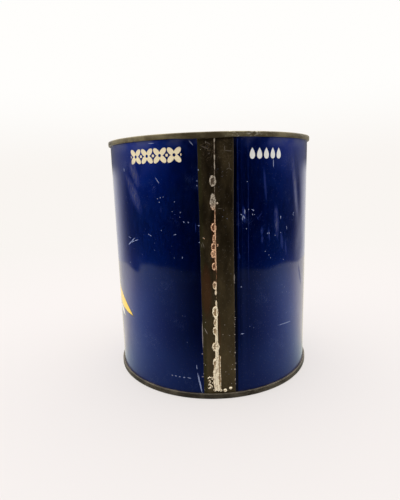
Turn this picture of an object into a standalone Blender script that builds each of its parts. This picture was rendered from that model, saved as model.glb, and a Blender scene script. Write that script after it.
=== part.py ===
"""Milk powder tin: a rolled body with a soldered lap seam, two double-seamed ends and a lever lid.

Units are metres and +Z is up. The origin is the centre of the circle that the tin stands on,
and the soldered side seam faces -Y. Angles round the wall are counted from -Y towards +X.
"""
import math

import bmesh
import bpy
from mathutils import Matrix, Vector

# Driving dimensions of the tin
BODY_RADIUS = 0.06325
RIM_RADIUS = 0.0646
HEIGHT = 0.148

# Both double seams: a hook of end plate folded over the edge of the body
SEAM_HEIGHT = 0.0033
SEAM_INNER_RADIUS = 0.0615
SEAM_ROUND = 0.0007
SEAM_LIP_ROUND = 0.0004
FOLD_THICKNESS = 0.0008
SHEET_THICKNESS = 0.0006
SKIRT_REACH = 0.0003
GAP = 0.0003

# Top ring, with the mouth that the lid plugs
RING_DEPTH = 0.0038
MOUTH_RADIUS = 0.0512
MOUTH_BEAD_DEPTH = 0.0024
MOUTH_BEAD_WIDTH = 0.0015
MOUTH_BEAD_SLOPE = 0.0006
PLUG_DEPTH = 0.0075

# Lever lid
LID_DEPTH = 0.0012
LID_CURL_RADIUS = 0.0545
LID_CURL_HEIGHT = 0.0019
LID_CURL_WIDTH = 0.0009
LID_GROOVE_DEPTH = 0.005
LID_GROOVE_OUTER_RADIUS = 0.0496
LID_GROOVE_INNER_RADIUS = 0.0466
LID_PANEL_DEPTH = 0.003
LID_BEAD_RADIUS = 0.034

# Bottom end
BASE_GROOVE_DEPTH = 0.004
BASE_PANEL_DEPTH = 0.0031
BASE_GROOVE_WIDTH = 0.0032
BASE_BEAD_RADII = (0.031, 0.047)
BEAD_WIDTH = 0.0032
BEAD_DEPTH = 0.0005
BEAD_SLOPE = 0.0008

# Side seam: the right-hand sheet laps over the left-hand one
LAP_STEP = 0.0003
LAP_EDGE_SLOPE = math.radians(0.15)
LAP_RAISED_TO = math.radians(11.25)
LAP_LEVEL_FROM = math.radians(16.875)
BARE_STRIP_FROM = math.radians(-7.2)
BARE_STRIP_TO = math.radians(9.0)

# Solder: lowest point, highest point and full width of each stretch along the lap
SOLDER_STRETCHES = (
    (0.0038, 0.0150, 0.0050),
    (0.0120, 0.0205, 0.0044),
    (0.0198, 0.0262, 0.0042),
    (0.0285, 0.0350, 0.0044),
    (0.0380, 0.0485, 0.0031),
    (0.0480, 0.0560, 0.0033),
    (0.0645, 0.0705, 0.0026),
    (0.0755, 0.0825, 0.0026),
    (0.0820, 0.0865, 0.0032),
    (0.0865, 0.0915, 0.0033),
    (0.0915, 0.0960, 0.0028),
    (0.0962, 0.1030, 0.0033),
    (0.1085, 0.1165, 0.0036),
    (0.1200, 0.1262, 0.0034),
)
SOLDER_LOW = 0.0038
SOLDER_HIGH = 0.1442
SOLDER_THREAD_WIDTH = 0.0009
SOLDER_SIDE_SHIFT = -0.0004
SOLDER_EDGE_HEIGHT = 0.00015
SOLDER_CROWN_HEIGHT = 0.0003
SOLDER_ROWS = 72
SOLDER_COLUMNS = 4

# Solder drops: distance round the wall from the lap, height and radius
SOLDER_DROPS = ((0.0040, 0.00496, 0.00105), (0.0072, 0.00613, 0.00087))
DROP_FLATNESS = 0.55

# Fineness of the turned shapes
SIDES = 64
ARC_STEPS = 2
MERGE_DISTANCE = 1e-7
SHARP_ANGLE = math.radians(35)


def clear_scene():
    """Removes what the file already holds."""
    for thing in list(bpy.data.objects):
        bpy.data.objects.remove(thing, do_unlink=True)


def finish(name, color, roughness, metallic):
    """A Principled material."""
    material = bpy.data.materials.new(name)
    material.use_nodes = True
    shader = material.node_tree.nodes["Principled BSDF"]
    shader.inputs["Base Color"].default_value = (*color, 1.0)
    shader.inputs["Roughness"].default_value = roughness
    shader.inputs["Metallic"].default_value = metallic
    return material


def arc_corner(before, corner, after, radius):
    """The points of the arc that rounds one corner of an outline."""
    to_before = (before - corner).normalized()
    to_after = (after - corner).normalized()
    half_angle = to_before.angle(to_after) / 2
    centre = corner + (to_before + to_after).normalized() * radius / math.sin(half_angle)
    reach = radius / math.tan(half_angle)
    start = corner + to_before * reach - centre
    end = corner + to_after * reach - centre
    return [centre + start.slerp(end, step / ARC_STEPS) * radius for step in range(ARC_STEPS + 1)]


def outline(corners, closed):
    """The points of an outline given by its corners, each a radius, a height and a rounding."""
    points = [Vector((radius, height)) for radius, height, rounding in corners]
    rounded = []
    for index, (radius, height, rounding) in enumerate(corners):
        at_end = index in (0, len(corners) - 1) and not closed
        if rounding == 0 or at_end:
            rounded.append(points[index])
        else:
            following = points[(index + 1) % len(points)]
            rounded += arc_corner(points[index - 1], points[index], following, rounding)
    return rounded


def face_outwards(shape):
    """Turns the faces of a closed shape so that they all point out of it."""
    bmesh.ops.recalc_face_normals(shape, faces=shape.faces)
    if shape.calc_volume(signed=True) < 0:
        bmesh.ops.reverse_faces(shape, faces=shape.faces)


def turn(corners, closed):
    """A bmesh turned round the Z axis from an outline."""
    shape = bmesh.new()
    verts = [shape.verts.new((point.x, 0, point.y)) for point in outline(corners, closed)]
    edges = [shape.edges.new(pair) for pair in zip(verts, verts[1:])]
    if closed:
        edges.append(shape.edges.new((verts[-1], verts[0])))
    bmesh.ops.spin(shape, geom=verts + edges, cent=(0, 0, 0), axis=(0, 0, 1), dvec=(0, 0, 0),
                   angle=2 * math.pi, steps=SIDES, use_merge=True)
    bmesh.ops.remove_doubles(shape, verts=shape.verts, dist=MERGE_DISTANCE)
    face_outwards(shape)
    return shape


def add_object(name, shape, materials):
    """Turns a bmesh into a smooth-shaded object of the scene."""
    mesh = bpy.data.meshes.new(name)
    shape.to_mesh(mesh)
    shape.free()
    for material in materials:
        mesh.materials.append(material)
    mesh.shade_smooth()
    mesh.set_sharp_from_angle(angle=SHARP_ANGLE)
    thing = bpy.data.objects.new(name, mesh)
    bpy.context.scene.collection.objects.link(thing)
    return thing


def wall_angle(point):
    """The angle of a point round the wall, from -Y towards +X."""
    return math.atan2(point.x, -point.y)


def wall_direction(angle):
    """The outward direction of the wall at an angle."""
    return Vector((math.sin(angle), -math.cos(angle), 0))


def lap_offset(angle):
    """How far the overlapping sheet stands out at an angle."""
    if angle < -LAP_EDGE_SLOPE / 2 or angle > LAP_LEVEL_FROM:
        return 0.0
    if angle <= LAP_RAISED_TO:
        return LAP_STEP
    return LAP_STEP * (LAP_LEVEL_FROM - angle) / (LAP_LEVEL_FROM - LAP_RAISED_TO)


def cut_column(shape, angle):
    """Adds one upright line of edges to the wall at an angle."""
    side = 2 * math.pi / SIDES
    faces = [face for face in shape.faces
             if abs(wall_angle(face.calc_center_median()) - angle) < side]
    parts = set(faces)
    for face in faces:
        parts.update(face.edges)
        parts.update(face.verts)
    across = Vector((math.cos(angle), math.sin(angle), 0))
    bmesh.ops.bisect_plane(shape, geom=list(parts), dist=MERGE_DISTANCE,
                           plane_co=(0, 0, 0), plane_no=across)


def make_can_body():
    """The rolled wall and its powder as one solid, with thin edges that just reach into the seams."""
    skirt_inner = BODY_RADIUS - SHEET_THICKNESS
    skirt_end = SEAM_HEIGHT - SKIRT_REACH
    seam_mouth = SEAM_HEIGHT + 2 * GAP
    wall_end = seam_mouth + LAP_STEP
    floor = BASE_GROOVE_DEPTH + FOLD_THICKNESS + GAP
    shoulder = HEIGHT - RING_DEPTH - FOLD_THICKNESS - GAP
    well_radius = MOUTH_RADIUS + FOLD_THICKNESS + GAP
    well_floor = HEIGHT - PLUG_DEPTH - GAP
    corners = (
        (0, floor, 0),
        (skirt_inner, floor, 0),
        (skirt_inner, skirt_end, 0),
        (BODY_RADIUS, skirt_end, 0),
        (BODY_RADIUS, seam_mouth, 0),
        (BODY_RADIUS, wall_end, 0),
        (BODY_RADIUS, HEIGHT - wall_end, 0),
        (BODY_RADIUS, HEIGHT - seam_mouth, 0),
        (BODY_RADIUS, HEIGHT - skirt_end, 0),
        (skirt_inner, HEIGHT - skirt_end, 0),
        (skirt_inner, shoulder, 0),
        (well_radius, shoulder, 0),
        (well_radius, well_floor, 0),
        (0, well_floor, 0),
    )
    shape = turn(corners, closed=False)
    for angle in (BARE_STRIP_FROM, -LAP_EDGE_SLOPE, BARE_STRIP_TO):
        cut_column(shape, angle)
    raise_lap(shape, wall_end - MERGE_DISTANCE)
    mark_bare_strip(shape, skirt_end)
    lacquer = finish("navy_lacquer", (0.012, 0.03, 0.14), 0.18, 0.0)
    bare = finish("bare_tinplate", (0.055, 0.042, 0.026), 0.4, 0.6)
    return add_object("can_body", shape, (lacquer, bare))


def raise_lap(shape, lowest):
    """Moves the overlapping sheet out by the lap's step between the two seams."""
    for vert in shape.verts:
        on_wall = lowest < vert.co.z < HEIGHT - lowest and vert.co.xy.length > BODY_RADIUS - GAP
        if on_wall:
            angle = wall_angle(vert.co)
            vert.co += wall_direction(angle) * lap_offset(angle)


def mark_bare_strip(shape, lowest):
    """Gives the unlacquered strip along the lap the second material."""
    for face in shape.faces:
        centre = face.calc_center_median()
        on_wall = lowest < centre.z < HEIGHT - lowest and centre.xy.length > BODY_RADIUS - GAP
        if on_wall and BARE_STRIP_FROM < wall_angle(centre) < BARE_STRIP_TO:
            face.material_index = 1


def make_top_ring():
    """The top end: its double seam, the sunken ring, and the neck of the mouth."""
    ring = HEIGHT - RING_DEPTH
    bead = HEIGHT - MOUTH_BEAD_DEPTH
    bead_outer = MOUTH_RADIUS + MOUTH_BEAD_WIDTH
    neck_outer = MOUTH_RADIUS + FOLD_THICKNESS
    channel_inner = BODY_RADIUS - SHEET_THICKNESS - GAP
    channel_outer = BODY_RADIUS + GAP
    corners = (
        (channel_outer, HEIGHT - SEAM_HEIGHT, 0),
        (RIM_RADIUS, HEIGHT - SEAM_HEIGHT, SEAM_LIP_ROUND),
        (RIM_RADIUS, HEIGHT, SEAM_ROUND),
        (SEAM_INNER_RADIUS, HEIGHT, SEAM_ROUND),
        (SEAM_INNER_RADIUS, ring, SEAM_ROUND),
        (bead_outer + MOUTH_BEAD_SLOPE, ring, 0),
        (bead_outer, bead, 0),
        (MOUTH_RADIUS, bead, SEAM_LIP_ROUND),
        (MOUTH_RADIUS, HEIGHT - PLUG_DEPTH, 0),
        (neck_outer, HEIGHT - PLUG_DEPTH, 0),
        (neck_outer, ring - FOLD_THICKNESS, 0),
        (channel_inner, ring - FOLD_THICKNESS, 0),
        (channel_inner, HEIGHT - FOLD_THICKNESS, 0),
        (channel_outer, HEIGHT - FOLD_THICKNESS, 0),
    )
    plate = finish("ring_tinplate", (0.19, 0.17, 0.12), 0.45, 0.8)
    return add_object("top_ring", turn(corners, closed=True), (plate,))


def groove(radius, level, depth):
    """The four corners of a shallow ring pressed in a panel, from its inner side outwards."""
    half = BEAD_WIDTH / 2
    return (
        (radius - half - BEAD_SLOPE, level, 0),
        (radius - half, level + depth, 0),
        (radius + half, level + depth, 0),
        (radius + half + BEAD_SLOPE, level, 0),
    )


def make_lever_lid():
    """The lid: a curled flange that rests on the mouth, and a plug with a sunken groove."""
    top = HEIGHT - LID_DEPTH
    underside = HEIGHT - MOUTH_BEAD_DEPTH + GAP
    curl_foot = top - LID_CURL_HEIGHT
    curl_inner = LID_CURL_RADIUS - LID_CURL_WIDTH
    plug_radius = MOUTH_RADIUS - GAP
    plug_foot = HEIGHT - PLUG_DEPTH
    groove_floor = HEIGHT - LID_GROOVE_DEPTH
    groove_slope = LID_GROOVE_OUTER_RADIUS - BEAD_SLOPE
    panel = HEIGHT - LID_PANEL_DEPTH
    corners = (
        (0, panel, 0),
        *groove(LID_BEAD_RADIUS, panel, -BEAD_DEPTH),
        (LID_GROOVE_INNER_RADIUS, panel, 0),
        (LID_GROOVE_INNER_RADIUS + BEAD_SLOPE, groove_floor, 0),
        (groove_slope, groove_floor, 0),
        (LID_GROOVE_OUTER_RADIUS, top, SEAM_LIP_ROUND),
        (LID_CURL_RADIUS, top, SEAM_ROUND),
        (LID_CURL_RADIUS, curl_foot, 0),
        (curl_inner, curl_foot, 0),
        (curl_inner, underside, 0),
        (plug_radius, underside, 0),
        (plug_radius, plug_foot, 0),
        (0, plug_foot, 0),
    )
    plate = finish("lid_tinplate", (0.3, 0.27, 0.2), 0.35, 0.9)
    return add_object("lever_lid", turn(corners, closed=False), (plate,))


def make_bottom_end():
    """The bottom end: its double seam, a groove round the edge and a panel with pressed rings."""
    groove_inner = SEAM_INNER_RADIUS - BASE_GROOVE_WIDTH
    inside = BASE_GROOVE_DEPTH + FOLD_THICKNESS
    channel_inner = BODY_RADIUS - SHEET_THICKNESS - GAP
    channel_outer = BODY_RADIUS + GAP
    pressed_rings = [corner for radius in BASE_BEAD_RADII
                     for corner in groove(radius, BASE_PANEL_DEPTH, BEAD_DEPTH)]
    corners = (
        (0, BASE_PANEL_DEPTH, 0),
        *pressed_rings,
        (groove_inner - BEAD_SLOPE, BASE_PANEL_DEPTH, 0),
        (groove_inner, BASE_GROOVE_DEPTH, 0),
        (SEAM_INNER_RADIUS, BASE_GROOVE_DEPTH, SEAM_ROUND),
        (SEAM_INNER_RADIUS, 0, SEAM_ROUND),
        (RIM_RADIUS, 0, SEAM_ROUND),
        (RIM_RADIUS, SEAM_HEIGHT, SEAM_LIP_ROUND),
        (channel_outer, SEAM_HEIGHT, 0),
        (channel_outer, FOLD_THICKNESS, 0),
        (channel_inner, FOLD_THICKNESS, 0),
        (channel_inner, inside, 0),
        (0, inside, 0),
    )
    plate = finish("base_tinplate", (0.07, 0.058, 0.04), 0.5, 0.8)
    return add_object("bottom_end", turn(corners, closed=False), (plate,))


def solder_half_width(height):
    """Half the width of the solder at a height: the widest stretch there, or a thin thread."""
    half = SOLDER_THREAD_WIDTH / 2
    for low, high, width in SOLDER_STRETCHES:
        from_middle = (height - (low + high) / 2) / ((high - low) / 2)
        if abs(from_middle) < 1:
            half = max(half, width / 2 * (1 - from_middle ** 2) ** 0.35)
    return half


def make_solder_seam(material):
    """The scalloped run of solder along the edge of the lap."""
    back = BODY_RADIUS + LAP_STEP + GAP
    shape = bmesh.new()
    bmesh.ops.create_grid(shape, x_segments=SOLDER_COLUMNS, y_segments=SOLDER_ROWS, size=1)
    front = list(shape.faces)
    copied = bmesh.ops.extrude_face_region(shape, geom=front, use_keep_orig=True)
    backing = {part for part in copied["geom"] if isinstance(part, bmesh.types.BMVert)}
    for vert in shape.verts:
        across, along = vert.co.x, (vert.co.y + 1) / 2
        height = SOLDER_LOW + (SOLDER_HIGH - SOLDER_LOW) * along
        half = solder_half_width(height)
        fullness = half * 2 / SOLDER_STRETCHES[0][2]
        crown = SOLDER_EDGE_HEIGHT + SOLDER_CROWN_HEIGHT * fullness * (1 - across ** 2)
        radius = back if vert in backing else back + crown
        angle = (across * half + SOLDER_SIDE_SHIFT) / BODY_RADIUS
        vert.co = wall_direction(angle) * radius + Vector((0, 0, height))
    face_outwards(shape)
    return add_object("solder_seam", shape, (material,))


def make_solder_drop(name, around, height, radius, material):
    """A flat-backed drop of solder on the overlapping sheet."""
    shape = bmesh.new()
    bmesh.ops.create_uvsphere(shape, u_segments=12, v_segments=8, radius=radius)
    everything = shape.verts[:] + shape.edges[:] + shape.faces[:]
    cut = bmesh.ops.bisect_plane(shape, geom=everything, dist=MERGE_DISTANCE, plane_co=(0, 0, 0),
                                 plane_no=(0, 0, 1), clear_inner=True)
    rim = [part for part in cut["geom_cut"] if isinstance(part, bmesh.types.BMEdge)]
    bmesh.ops.contextual_create(shape, geom=rim)
    bmesh.ops.scale(shape, vec=(1, 1, DROP_FLATNESS), verts=shape.verts)
    out = wall_direction(around / BODY_RADIUS)
    turned = out.to_track_quat("Z", "Y").to_matrix().to_4x4()
    place = Matrix.Translation(out * (BODY_RADIUS + LAP_STEP + GAP) + Vector((0, 0, height)))
    bmesh.ops.transform(shape, matrix=place @ turned, verts=shape.verts)
    face_outwards(shape)
    return add_object(name, shape, (material,))


def make_tin():
    """Builds every piece of the tin."""
    clear_scene()
    solder = finish("solder", (0.65, 0.55, 0.42), 0.45, 0.3)
    make_can_body()
    make_top_ring()
    make_lever_lid()
    make_bottom_end()
    make_solder_seam(solder)
    for number, (around, height, radius) in enumerate(SOLDER_DROPS, start=1):
        make_solder_drop(f"solder_drop_{number}", around, height, radius, solder)


make_tin()
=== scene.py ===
# %% [markdown]
# # A milk powder tin, seen from its soldered side
# The tin is one sheet of tinplate, printed navy blue, rolled up and soldered along a lap.
# A ring and a bottom end are hooked over its two edges, and a lid is pressed into the ring's mouth.
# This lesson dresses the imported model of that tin. Each piece gets a fine mesh, with the dents, the
# rolled edges and the solder of the old tin, and a material that is made of nodes.

# %% Load the frame
import math
import random

import bmesh
import bpy
from mathutils import Matrix, Vector, noise


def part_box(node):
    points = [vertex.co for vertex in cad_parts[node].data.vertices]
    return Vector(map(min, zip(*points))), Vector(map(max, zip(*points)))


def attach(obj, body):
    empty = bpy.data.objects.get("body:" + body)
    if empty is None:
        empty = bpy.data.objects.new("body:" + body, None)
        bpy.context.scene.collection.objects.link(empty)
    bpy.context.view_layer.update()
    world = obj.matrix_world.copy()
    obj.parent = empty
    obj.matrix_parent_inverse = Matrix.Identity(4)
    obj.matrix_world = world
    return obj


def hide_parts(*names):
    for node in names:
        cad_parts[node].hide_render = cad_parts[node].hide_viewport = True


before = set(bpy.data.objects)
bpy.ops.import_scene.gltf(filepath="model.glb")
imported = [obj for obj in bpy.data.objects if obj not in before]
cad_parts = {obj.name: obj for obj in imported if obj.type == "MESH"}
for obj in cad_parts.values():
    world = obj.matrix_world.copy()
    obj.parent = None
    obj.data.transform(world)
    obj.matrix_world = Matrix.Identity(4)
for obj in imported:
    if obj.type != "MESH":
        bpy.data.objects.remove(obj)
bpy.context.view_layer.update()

# %% [markdown]
# ## Sizes
# The radii and heights are read from the frame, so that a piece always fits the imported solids.
# Places on the wall are given in millimetres: first the distance round the wall from the edge of
# the lap, to the right as one looks at it, and then the height above the table. That is how one
# would measure an old tin with a paper ruler.

# %% Sizes of the tin
MM = 0.001
RIM_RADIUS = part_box("top_ring")[1].x
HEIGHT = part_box("top_ring")[1].z
SEAM_OVERHANG = 1.35 * MM
BODY_RADIUS = RIM_RADIUS - SEAM_OVERHANG
FULL_TURN = 2 * math.pi
LAP_STEP = 0.3 * MM
CLEARANCE = 0.06 * MM

print(f"rim radius {RIM_RADIUS / MM:.2f} mm, body radius {BODY_RADIUS / MM:.2f} mm")
print(f"height {HEIGHT / MM:.1f} mm")

# %% [markdown]
# ## The camera
# The picture was taken from a hand's width above the table's edge, with a wide lens close to the
# tin: the rims curve strongly, and the tin narrows downwards. So the camera needs the true place
# and lens, and not only the true direction. Its heading, its drop below the horizon and its roll
# are kept as three angles, because they can be read and corrected one by one.

# %% Camera
CAMERA_PLACE = Vector((-0.00996, -0.27044, 0.12776))
CAMERA_HEADING = math.radians(0.527)
CAMERA_DROP = math.radians(11.06)
CAMERA_ROLL = math.radians(-1.697)
CAMERA_LENS = 28.50
CAMERA_SENSOR = 36
CAMERA_NEAREST = 0.01


def camera_axes(heading, drop, roll):
    """The right, up and backward directions of a camera."""
    level = math.cos(drop)
    ahead = Vector((math.sin(heading) * level, math.cos(heading) * level, -math.sin(drop)))
    level_right = Vector((math.cos(heading), -math.sin(heading), 0))
    level_up = level_right.cross(ahead)
    right = math.cos(roll) * level_right + math.sin(roll) * level_up
    up = math.cos(roll) * level_up - math.sin(roll) * level_right
    return right, up, -ahead


camera = bpy.data.objects.new("camera", bpy.data.cameras.new("camera"))
bpy.context.scene.collection.objects.link(camera)
axes = Matrix(camera_axes(CAMERA_HEADING, CAMERA_DROP, CAMERA_ROLL)).transposed()
camera.matrix_world = Matrix.Translation(CAMERA_PLACE) @ axes.to_4x4()
camera.data.lens = CAMERA_LENS
camera.data.sensor_width = CAMERA_SENSOR
camera.data.clip_start = CAMERA_NEAREST
bpy.context.scene.camera = camera
bpy.context.scene.view_settings.view_transform = "Standard"
print("camera stands", round((CAMERA_PLACE.xy.length - BODY_RADIUS) / MM), "mm from the wall")

# %% [markdown]
# ## A short way to write materials
# A node tree written out node by node is long and hard to read. This small class keeps the tree
# and gives each kind of node one short method, so that a finish below reads as a sentence:
# where the pattern is, how strong it is, and what it mixes.

# %% Recipes for node trees
def linear(red, green, blue):
    """A colour given as seen on a screen, 0 to 255, as linear light."""
    def channel(value):
        share = value / 255
        return share / 12.92 if share <= 0.04045 else ((share + 0.055) / 1.055) ** 2.4
    return (channel(red), channel(green), channel(blue), 1.0)


class Recipe:
    """A node tree, with one short method for each kind of node and for each kind of sum."""

    def __init__(self, tree):
        self.tree = tree

    def feed(self, socket, value):
        if isinstance(value, bpy.types.NodeSocket):
            self.tree.links.new(value, socket)
        else:
            socket.default_value = value

    def node(self, kind, inputs, **settings):
        made = self.tree.nodes.new(kind)
        for name, value in settings.items():
            setattr(made, name, value)
        for name, value in inputs.items():
            self.feed(made.inputs[name], value)
        return made

    def math(self, operation, first, second=0.0, third=0.0):
        inputs = {0: first, 1: second, 2: third}
        return self.node("ShaderNodeMath", inputs, operation=operation).outputs[0]

    def times(self, first, second):
        return self.math("MULTIPLY", first, second)

    def times_plus(self, first, second, third):
        return self.math("MULTIPLY_ADD", first, second, third)

    def plus(self, first, second):
        return self.math("ADD", first, second)

    def minus(self, first, second):
        return self.math("SUBTRACT", first, second)

    def larger(self, first, second):
        return self.math("MAXIMUM", first, second)

    def magnitude(self, value):
        return self.math("ABSOLUTE", value)

    def gap(self, first, second):
        """How far two values are apart."""
        return self.magnitude(self.minus(first, second))

    def step(self, value, start, end, low=0.0, high=1.0):
        """A smooth rise from low, where value is start, to high, where it is end."""
        inputs = {"Value": value, "From Min": start, "From Max": end, "To Min": low, "To Max": high}
        made = self.node("ShaderNodeMapRange", inputs, interpolation_type="SMOOTHSTEP")
        return made.outputs["Result"]

    def mix(self, share, first, second):
        inputs = {0: share, 6: first, 7: second}
        return self.node("ShaderNodeMix", inputs, data_type="RGBA").outputs[2]

    def blend(self, share, first, second):
        inputs = {0: share, 2: first, 3: second}
        return self.node("ShaderNodeMix", inputs, data_type="FLOAT").outputs[0]

    def noise(self, place, scale, detail=2.0, roughness=0.5):
        inputs = {"Vector": place, "Scale": scale, "Detail": detail, "Roughness": roughness}
        return self.node("ShaderNodeTexNoise", inputs).outputs["Fac"]

    def cells(self, place, scale, randomness=1.0):
        """The distance to the nearest of many scattered points."""
        inputs = {"Vector": place, "Scale": scale, "Randomness": randomness}
        return self.node("ShaderNodeTexVoronoi", inputs).outputs["Distance"]

    def stretch(self, place, scale):
        inputs = {0: place, 1: scale}
        return self.node("ShaderNodeVectorMath", inputs, operation="MULTIPLY").outputs[0]

    def split(self, vector):
        return self.node("ShaderNodeSeparateXYZ", {0: vector}).outputs

    def length(self, vector):
        return self.node("ShaderNodeVectorMath", {0: vector}, operation="LENGTH").outputs["Value"]

    def across(self, place, centre, direction, reach):
        """How far a place lies from a centre in one direction. It is 1 at the given reach."""
        part_x, part_y = direction[0] / reach, direction[1] / reach
        shift = -(centre[0] * part_x + centre[1] * part_y)
        if part_y:
            shift = self.times_plus(place[1], part_y, shift)
        return self.times_plus(place[0], part_x, shift) if part_x else shift

    def local(self, place, centre, half_size, turn=0.0):
        """The two coordinates that run from -1 to 1 across a shape, turned by an angle."""
        cos, sin = math.cos(turn), math.sin(turn)
        along = self.across(place, centre, (cos, sin), half_size[0])
        return along, self.across(place, centre, (-sin, cos), half_size[1])

    def smallest(self, values):
        """The smallest of several fields. Each is made just before it is used, to keep the tree light."""
        values = iter(values)
        found = next(values)
        for value in values:
            found = self.math("MINIMUM", found, value)
        return found

    def object_place(self):
        return self.tree.nodes.new("ShaderNodeTexCoord").outputs["Object"]

    def bump(self, height, distance, strength=1.0):
        inputs = {"Height": height, "Distance": distance, "Strength": strength}
        return self.node("ShaderNodeBump", inputs).outputs["Normal"]

    def show(self, output, share, first, second):
        """Sends a mix of two shaders to the tree's output."""
        chosen = self.node("ShaderNodeMixShader", {0: share, 1: first, 2: second}).outputs[0]
        self.feed(self.tree.nodes[output].inputs["Surface"], chosen)


def new_finish(name):
    """A material with a Principled shader, its recipe, and the shader's inputs."""
    material = bpy.data.materials.new(name)
    material.use_nodes = True
    shader = material.node_tree.nodes["Principled BSDF"]
    return material, Recipe(material.node_tree), shader.inputs


print("recipes ready")

# %% [markdown]
# ## Floor and light
# The tin stands on white paper that runs back into a white backdrop, under a wide soft light from
# above. The room behind the camera is dark. A glossy tin shows its surroundings, so the dark room
# matters as much as the light: it is why the front of the tin is nearly black and its two sides
# are blue. A lamp can't give that, so the world itself is built in three storeys: a bright dome,
# a low ring that is dark in front and light behind the tin, and a dimmer band below the horizon.
# Far from the tin the paper takes the backdrop's own white, so that no horizon shows.

# %% World
DOME_LIGHT = 3.2
DOME_FROM = math.sin(math.radians(37))
DOME_FULL = math.sin(math.radians(54))
RING_LIGHT = 2.7
RING_LEAST = 0.05
RING_FROM = math.sin(math.radians(4))
RING_FULL = math.sin(math.radians(17))
RING_DARK_WITHIN = math.radians(40)
RING_FULL_BEYOND = math.radians(95)
RING_DARK_TOWARDS = math.radians(8.5)
BAND_LIGHT = 0.8
BAND_DARK_WITHIN = math.radians(106)
BAND_FULL_BEYOND = math.radians(146)
HORIZON_FROM = -0.01
HORIZON_TO = 0.03
ROOM_COLOR = (1.0, 0.985, 0.965, 1.0)
BACKDROP_TOP_AT = 0.2
BACKDROP_TOP = linear(255, 254, 252)
BACKDROP_LOW = linear(249, 245, 241)


def from_front(recipe, x, y, front=0.0):
    """The angle between a direction and the front of the tin, whichever side it is on."""
    around = recipe.math("ARCTAN2", x, recipe.times(y, -1.0))
    return recipe.gap(around, front)


def brighter_sideways(recipe, angle, full_at, brightest):
    """Light that grows with the square of the angle from the front."""
    share = recipe.math("MINIMUM", recipe.math("DIVIDE", angle, full_at), 1.0)
    return recipe.times(recipe.times(share, share), brightest)


def room_light(recipe, direction):
    """The world's light by direction: the band, the ring above it, and the dome over both."""
    x, y, z = recipe.split(direction)[:3]
    band = recipe.step(from_front(recipe, x, y), BAND_DARK_WITHIN, BAND_FULL_BEYOND, 0.0, BAND_LIGHT)
    angle = from_front(recipe, x, y, RING_DARK_TOWARDS)
    ring = recipe.step(angle, RING_DARK_WITHIN, RING_FULL_BEYOND, 0.0, RING_LIGHT)
    ring = recipe.times(ring, recipe.step(z, RING_FROM, RING_FULL, RING_LEAST, 1.0))
    low = recipe.blend(recipe.step(z, HORIZON_FROM, HORIZON_TO), band, ring)
    return recipe.blend(recipe.step(z, DOME_FROM, DOME_FULL), low, DOME_LIGHT)


def make_world():
    """The backdrop that the camera sees, and the light that everything else gets."""
    world = bpy.data.worlds.new("soft_studio")
    world.use_nodes = True
    recipe = Recipe(world.node_tree)
    background = world.node_tree.nodes["Background"]
    direction = world.node_tree.nodes.new("ShaderNodeTexCoord").outputs["Generated"]
    upward = recipe.step(recipe.split(direction)[2], 0.0, BACKDROP_TOP_AT)
    backdrop = recipe.mix(upward, BACKDROP_LOW, BACKDROP_TOP)
    strength = room_light(recipe, direction)
    light = recipe.node("ShaderNodeBackground", {"Color": ROOM_COLOR, "Strength": strength})
    recipe.feed(background.inputs["Color"], backdrop)
    seen = world.node_tree.nodes.new("ShaderNodeLightPath").outputs["Is Camera Ray"]
    recipe.show("World Output", seen, light.outputs[0], background.outputs[0])
    bpy.context.scene.world = world
    return world


print("world", make_world().name)

# %% Floor
FLOOR_REACH = 4.0
FLOOR_FADE_FROM = 0.05
FLOOR_FADE_TO = 0.62
FLOOR_GLOW_LIFTING_SHADOW = 0.62
FLOOR_PAPER = (0.4225, 0.3957, 0.405, 1.0)


def make_sheet(name, half_size, height, material):
    """A flat square sheet that lies round the tin's foot."""
    shape = bmesh.new()
    bmesh.ops.create_grid(shape, x_segments=1, y_segments=1, size=half_size)
    bmesh.ops.translate(shape, vec=(0, 0, height), verts=shape.verts)
    mesh = bpy.data.meshes.new(name)
    shape.to_mesh(mesh)
    shape.free()
    mesh.materials.append(material)
    sheet = bpy.data.objects.new(name, mesh)
    bpy.context.scene.collection.objects.link(sheet)
    return sheet


def paper_finish():
    """White paper with painted light: it partly glows, which lightens the tin's shadow on it, and far
    from the tin it turns into the backdrop.
    """
    material, recipe, shader = new_finish("white_paper_painted_light")
    shader["Base Color"].default_value = FLOOR_PAPER
    shader["Roughness"].default_value = 0.9
    shader["Specular IOR Level"].default_value = 0.0
    away = recipe.length(recipe.object_place())
    # Painted light: near the tin the paper still takes most of its colour from the glow, which lightens
    # the tin's shadow on it.
    fade = recipe.step(away, FLOOR_FADE_FROM, FLOOR_FADE_TO, FLOOR_GLOW_LIFTING_SHADOW, 1.0)
    glow = recipe.node("ShaderNodeEmission", {"Color": BACKDROP_LOW, "Strength": 1.0})
    paper = material.node_tree.nodes["Principled BSDF"].outputs[0]
    recipe.show("Material Output", fade, paper, glow.outputs[0])
    return material


floor = make_sheet("floor", FLOOR_REACH, 0.0, paper_finish())
floor.visible_glossy = False
print("floor", floor.name)

# %% [markdown]
# The lower half of the tin mirrors the paper in front of it, up to the paper's edge, which shows
# as a line at half height. The middle of that paper lies in the photographer's shadow. A second
# sheet, a round one seen only by mirrored rays, gives that reflection without changing the floor.

# %% Reflection card
CARD_RADIUS = 0.365
CARD_EDGE_SOFTNESS = 0.012
CARD_FULL_AT = math.radians(105)
CARD_LIGHT = 0.84
CARD_COLOR = (1.0, 1.13, 1.05, 1.0)
CARD_SIDE_COLOR = (1.07, 1.0, 0.83, 1.0)
CARD_SIDE_FROM = math.radians(72)
CARD_SIDE_TO = math.radians(104)
CARD_FOOT_LIGHT = 0.055
CARD_FOOT_REACH = 0.16
CARD_FOOT_FULL = 0.55
CARD_HALF_SIZE = 0.5
CARD_DEPTH = 0.5 * MM


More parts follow.
